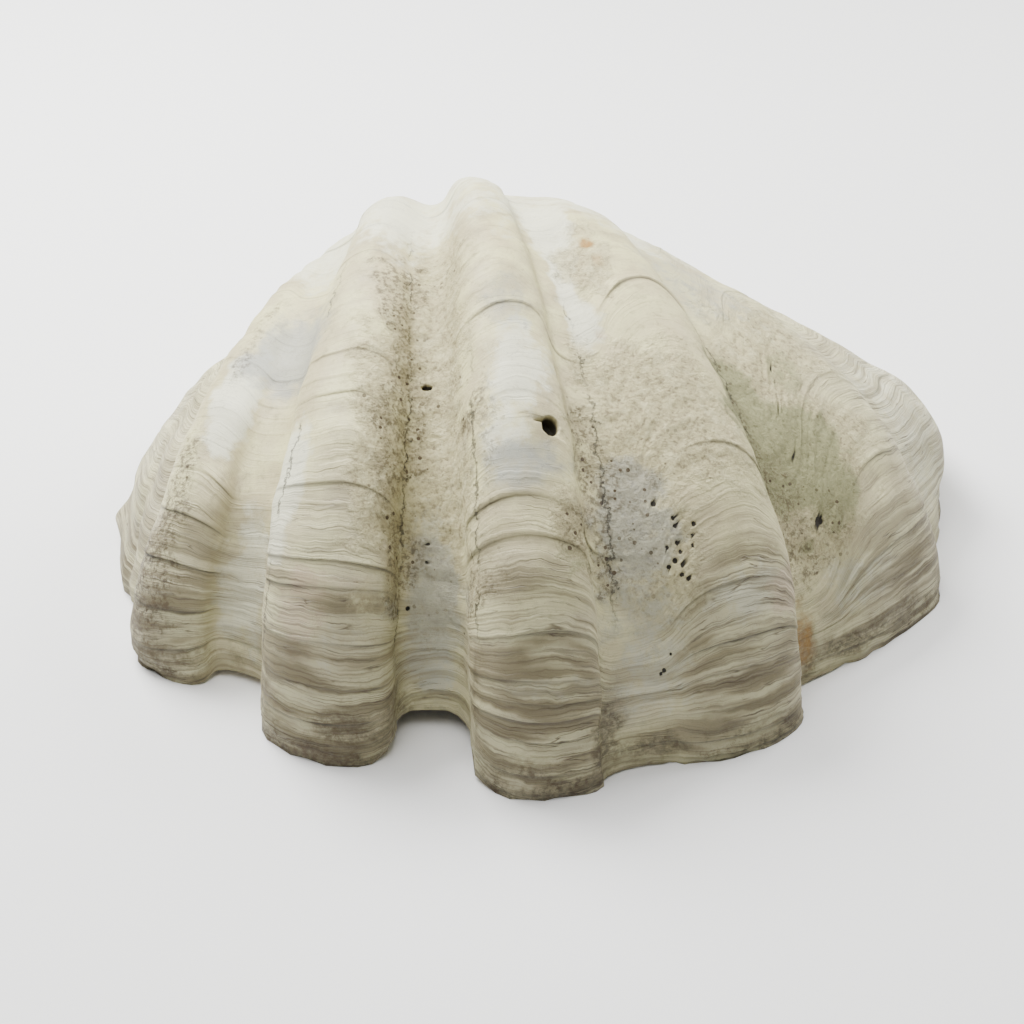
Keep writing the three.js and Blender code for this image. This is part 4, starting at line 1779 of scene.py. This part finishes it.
@dataclass(frozen=True)
class InsideFinish:
    """Smooth porcelain-like hollow, whiter than the outside, with a faint cream stain."""

    white: Colour = srgb(233, 229, 219)
    cream: Colour = srgb(214, 202, 176)
    stain: Colour = srgb(170, 148, 112)
    roughness: float = 0.38
    bump: float = 0.35
    bump_depth: float = 0.0008

    def material(self, weathering: NodeTree) -> Material:
        """Builds the material.

        Args:
            weathering: The weathering group.

        Returns:
            The finished material.
        """
        material = bpy.data.materials.new("smooth_inside")
        material.use_nodes = True
        sketch = NodeSketch(material.node_tree)
        shader = material.node_tree.nodes["Principled BSDF"]
        place = sketch.add("ShaderNodeTexCoord").outputs["Object"]
        worn = sketch.group(weathering, Vector=place)
        mottle, wear = worn.outputs["Mottle"], sketch.wear()
        colour = sketch.mix(worn.outputs["Clouds"], self.cream, self.white)
        # Stain on the rim from the outside's lowest row, its painted shade at the foot of the lobes included
        stain_and_shade = sketch.maths("MAXIMUM", wear[Wear.TAN], wear[Wear.BROWN])
        edge = sketch.times(stain_and_shade, sketch.span(mottle, 0.35, 0.6), 0.7)
        colour = sketch.mix(edge, colour, self.stain)
        colour = sketch.mix(sketch.times(worn.outputs["Scribbles"], 0.3), colour, self.stain)
        sketch.feed(shader.inputs["Base Color"], colour)
        rough = sketch.span(mottle, 0.3, 0.7, self.roughness, self.roughness + 0.2)
        sketch.feed(shader.inputs["Roughness"], rough)
        sketch.feed(shader.inputs["Normal"], sketch.bump(mottle, self.bump, self.bump_depth))
        return material


@dataclass(frozen=True)
class SoftLight:
    """Square area light that looks at a point."""

    name: str
    azimuth: float
    elevation: float
    distance: float
    size: float
    power: float


@dataclass
class Studio:
    """Pale floor, soft lights and the camera of the photo."""

    floor_size: float = 14.0
    floor_colour: Colour = srgb(238, 238, 236)
    floor_roughness: float = 0.9
    sky_colour: Colour = srgb(250, 250, 252)
    target: tuple[float, float, float] = (-0.0274, 0.003, 0.0404)
    camera_azimuth: float = -5.72
    camera_elevation: float = 38.58
    camera_distance: float = 1.8
    lens: float = 71.44
    sensor: float = 36.0
    world_strength: float = 0.16
    lights: tuple[SoftLight, ...] = (
        SoftLight("key_light", -142.0, 50.0, 2.2, 1.2, 140.0),
        SoftLight("top_light", -70.0, 78.0, 2.4, 1.8, 55.0),
        SoftLight("right_light", 118.0, 40.0, 2.4, 1.2, 60.0),
    )

    def direction(self, azimuth: float, elevation: float) -> Vector:
        """Unit vector from the valve at an azimuth, 0 towards -Y, and an elevation.

        Args:
            azimuth: Degrees round the valve.
            elevation: Degrees above the floor.

        Returns:
            The vector.
        """
        turn, rise = math.radians(azimuth), math.radians(elevation)
        return Vector((math.sin(turn) * math.cos(rise), -math.cos(turn) * math.cos(rise), math.sin(rise)))

    def aim(self, thing: Object, direction: Vector, distance: float) -> None:
        """Puts a light or a camera out in a direction and turns it to the target.

        Args:
            thing: The light or camera.
            direction: Unit vector from the target.
            distance: Distance from the target in metres.
        """
        thing.location = Vector(self.target) + direction * distance
        thing.rotation_euler = direction.to_track_quat("Z", "Y").to_euler()

    def lay_floor(self) -> Object:
        """Makes the floor and its plain pale finish.

        Returns:
            The floor.
        """
        grid = bmesh.new()
        bmesh.ops.create_grid(grid, x_segments=1, y_segments=1, size=self.floor_size / 2)
        mesh = bpy.data.meshes.new("floor")
        grid.to_mesh(mesh)
        grid.free()
        material = bpy.data.materials.new("pale_floor")
        material.use_nodes = True
        shader = material.node_tree.nodes["Principled BSDF"]
        shader.inputs["Base Color"].default_value = self.floor_colour
        shader.inputs["Roughness"].default_value = self.floor_roughness
        mesh.materials.append(material)
        floor = bpy.data.objects.new("floor", mesh)
        bpy.context.scene.collection.objects.link(floor)
        return floor

    def build(self) -> None:
        """Lays the floor, hangs the lights and sets the camera."""
        scene = bpy.context.scene
        self.lay_floor()
        world = bpy.data.worlds.new("studio")
        world.use_nodes = True
        background = world.node_tree.nodes["Background"]
        background.inputs["Color"].default_value = self.sky_colour
        background.inputs["Strength"].default_value = self.world_strength
        scene.world = world
        for soft in self.lights:
            data = bpy.data.lights.new(soft.name, "AREA")
            data.size = soft.size
            data.energy = soft.power
            lamp = bpy.data.objects.new(soft.name, data)
            scene.collection.objects.link(lamp)
            self.aim(lamp, self.direction(soft.azimuth, soft.elevation), soft.distance)
        data = bpy.data.cameras.new("camera")
        data.lens = self.lens
        data.sensor_width = self.sensor
        camera = bpy.data.objects.new("camera", data)
        scene.collection.objects.link(camera)
        self.aim(camera, self.direction(self.camera_azimuth, self.camera_elevation), self.camera_distance)
        scene.camera = camera


def dress(valve: Object) -> None:
    """Gives the valve its outside and inside finishes.

    Args:
        valve: The mesh object of the valve.
    """
    lines, weathering = GrowthLines().group(), Weathering().group()
    valve.data.materials.append(OutsideFinish().material(lines, weathering))
    valve.data.materials.append(InsideFinish().material(weathering))
    outside = valve.data.attributes["outside"].data
    for polygon in valve.data.polygons:
        polygon.material_index = 0 if any(outside[index].value > 0.5 for index in polygon.vertices) else 1


def main() -> None:
    """Builds the valve, dresses it and sets up the studio."""
    logging.basicConfig(level=logging.INFO, format="%(name)s: %(message)s")
    valve = ClamValve().build()
    dress(valve)
    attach(valve, "root")
    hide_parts(NODE)
    LOG.info("valve: %d faces", len(valve.data.polygons))
    Studio().build()


if __name__ == "__main__":
    main()
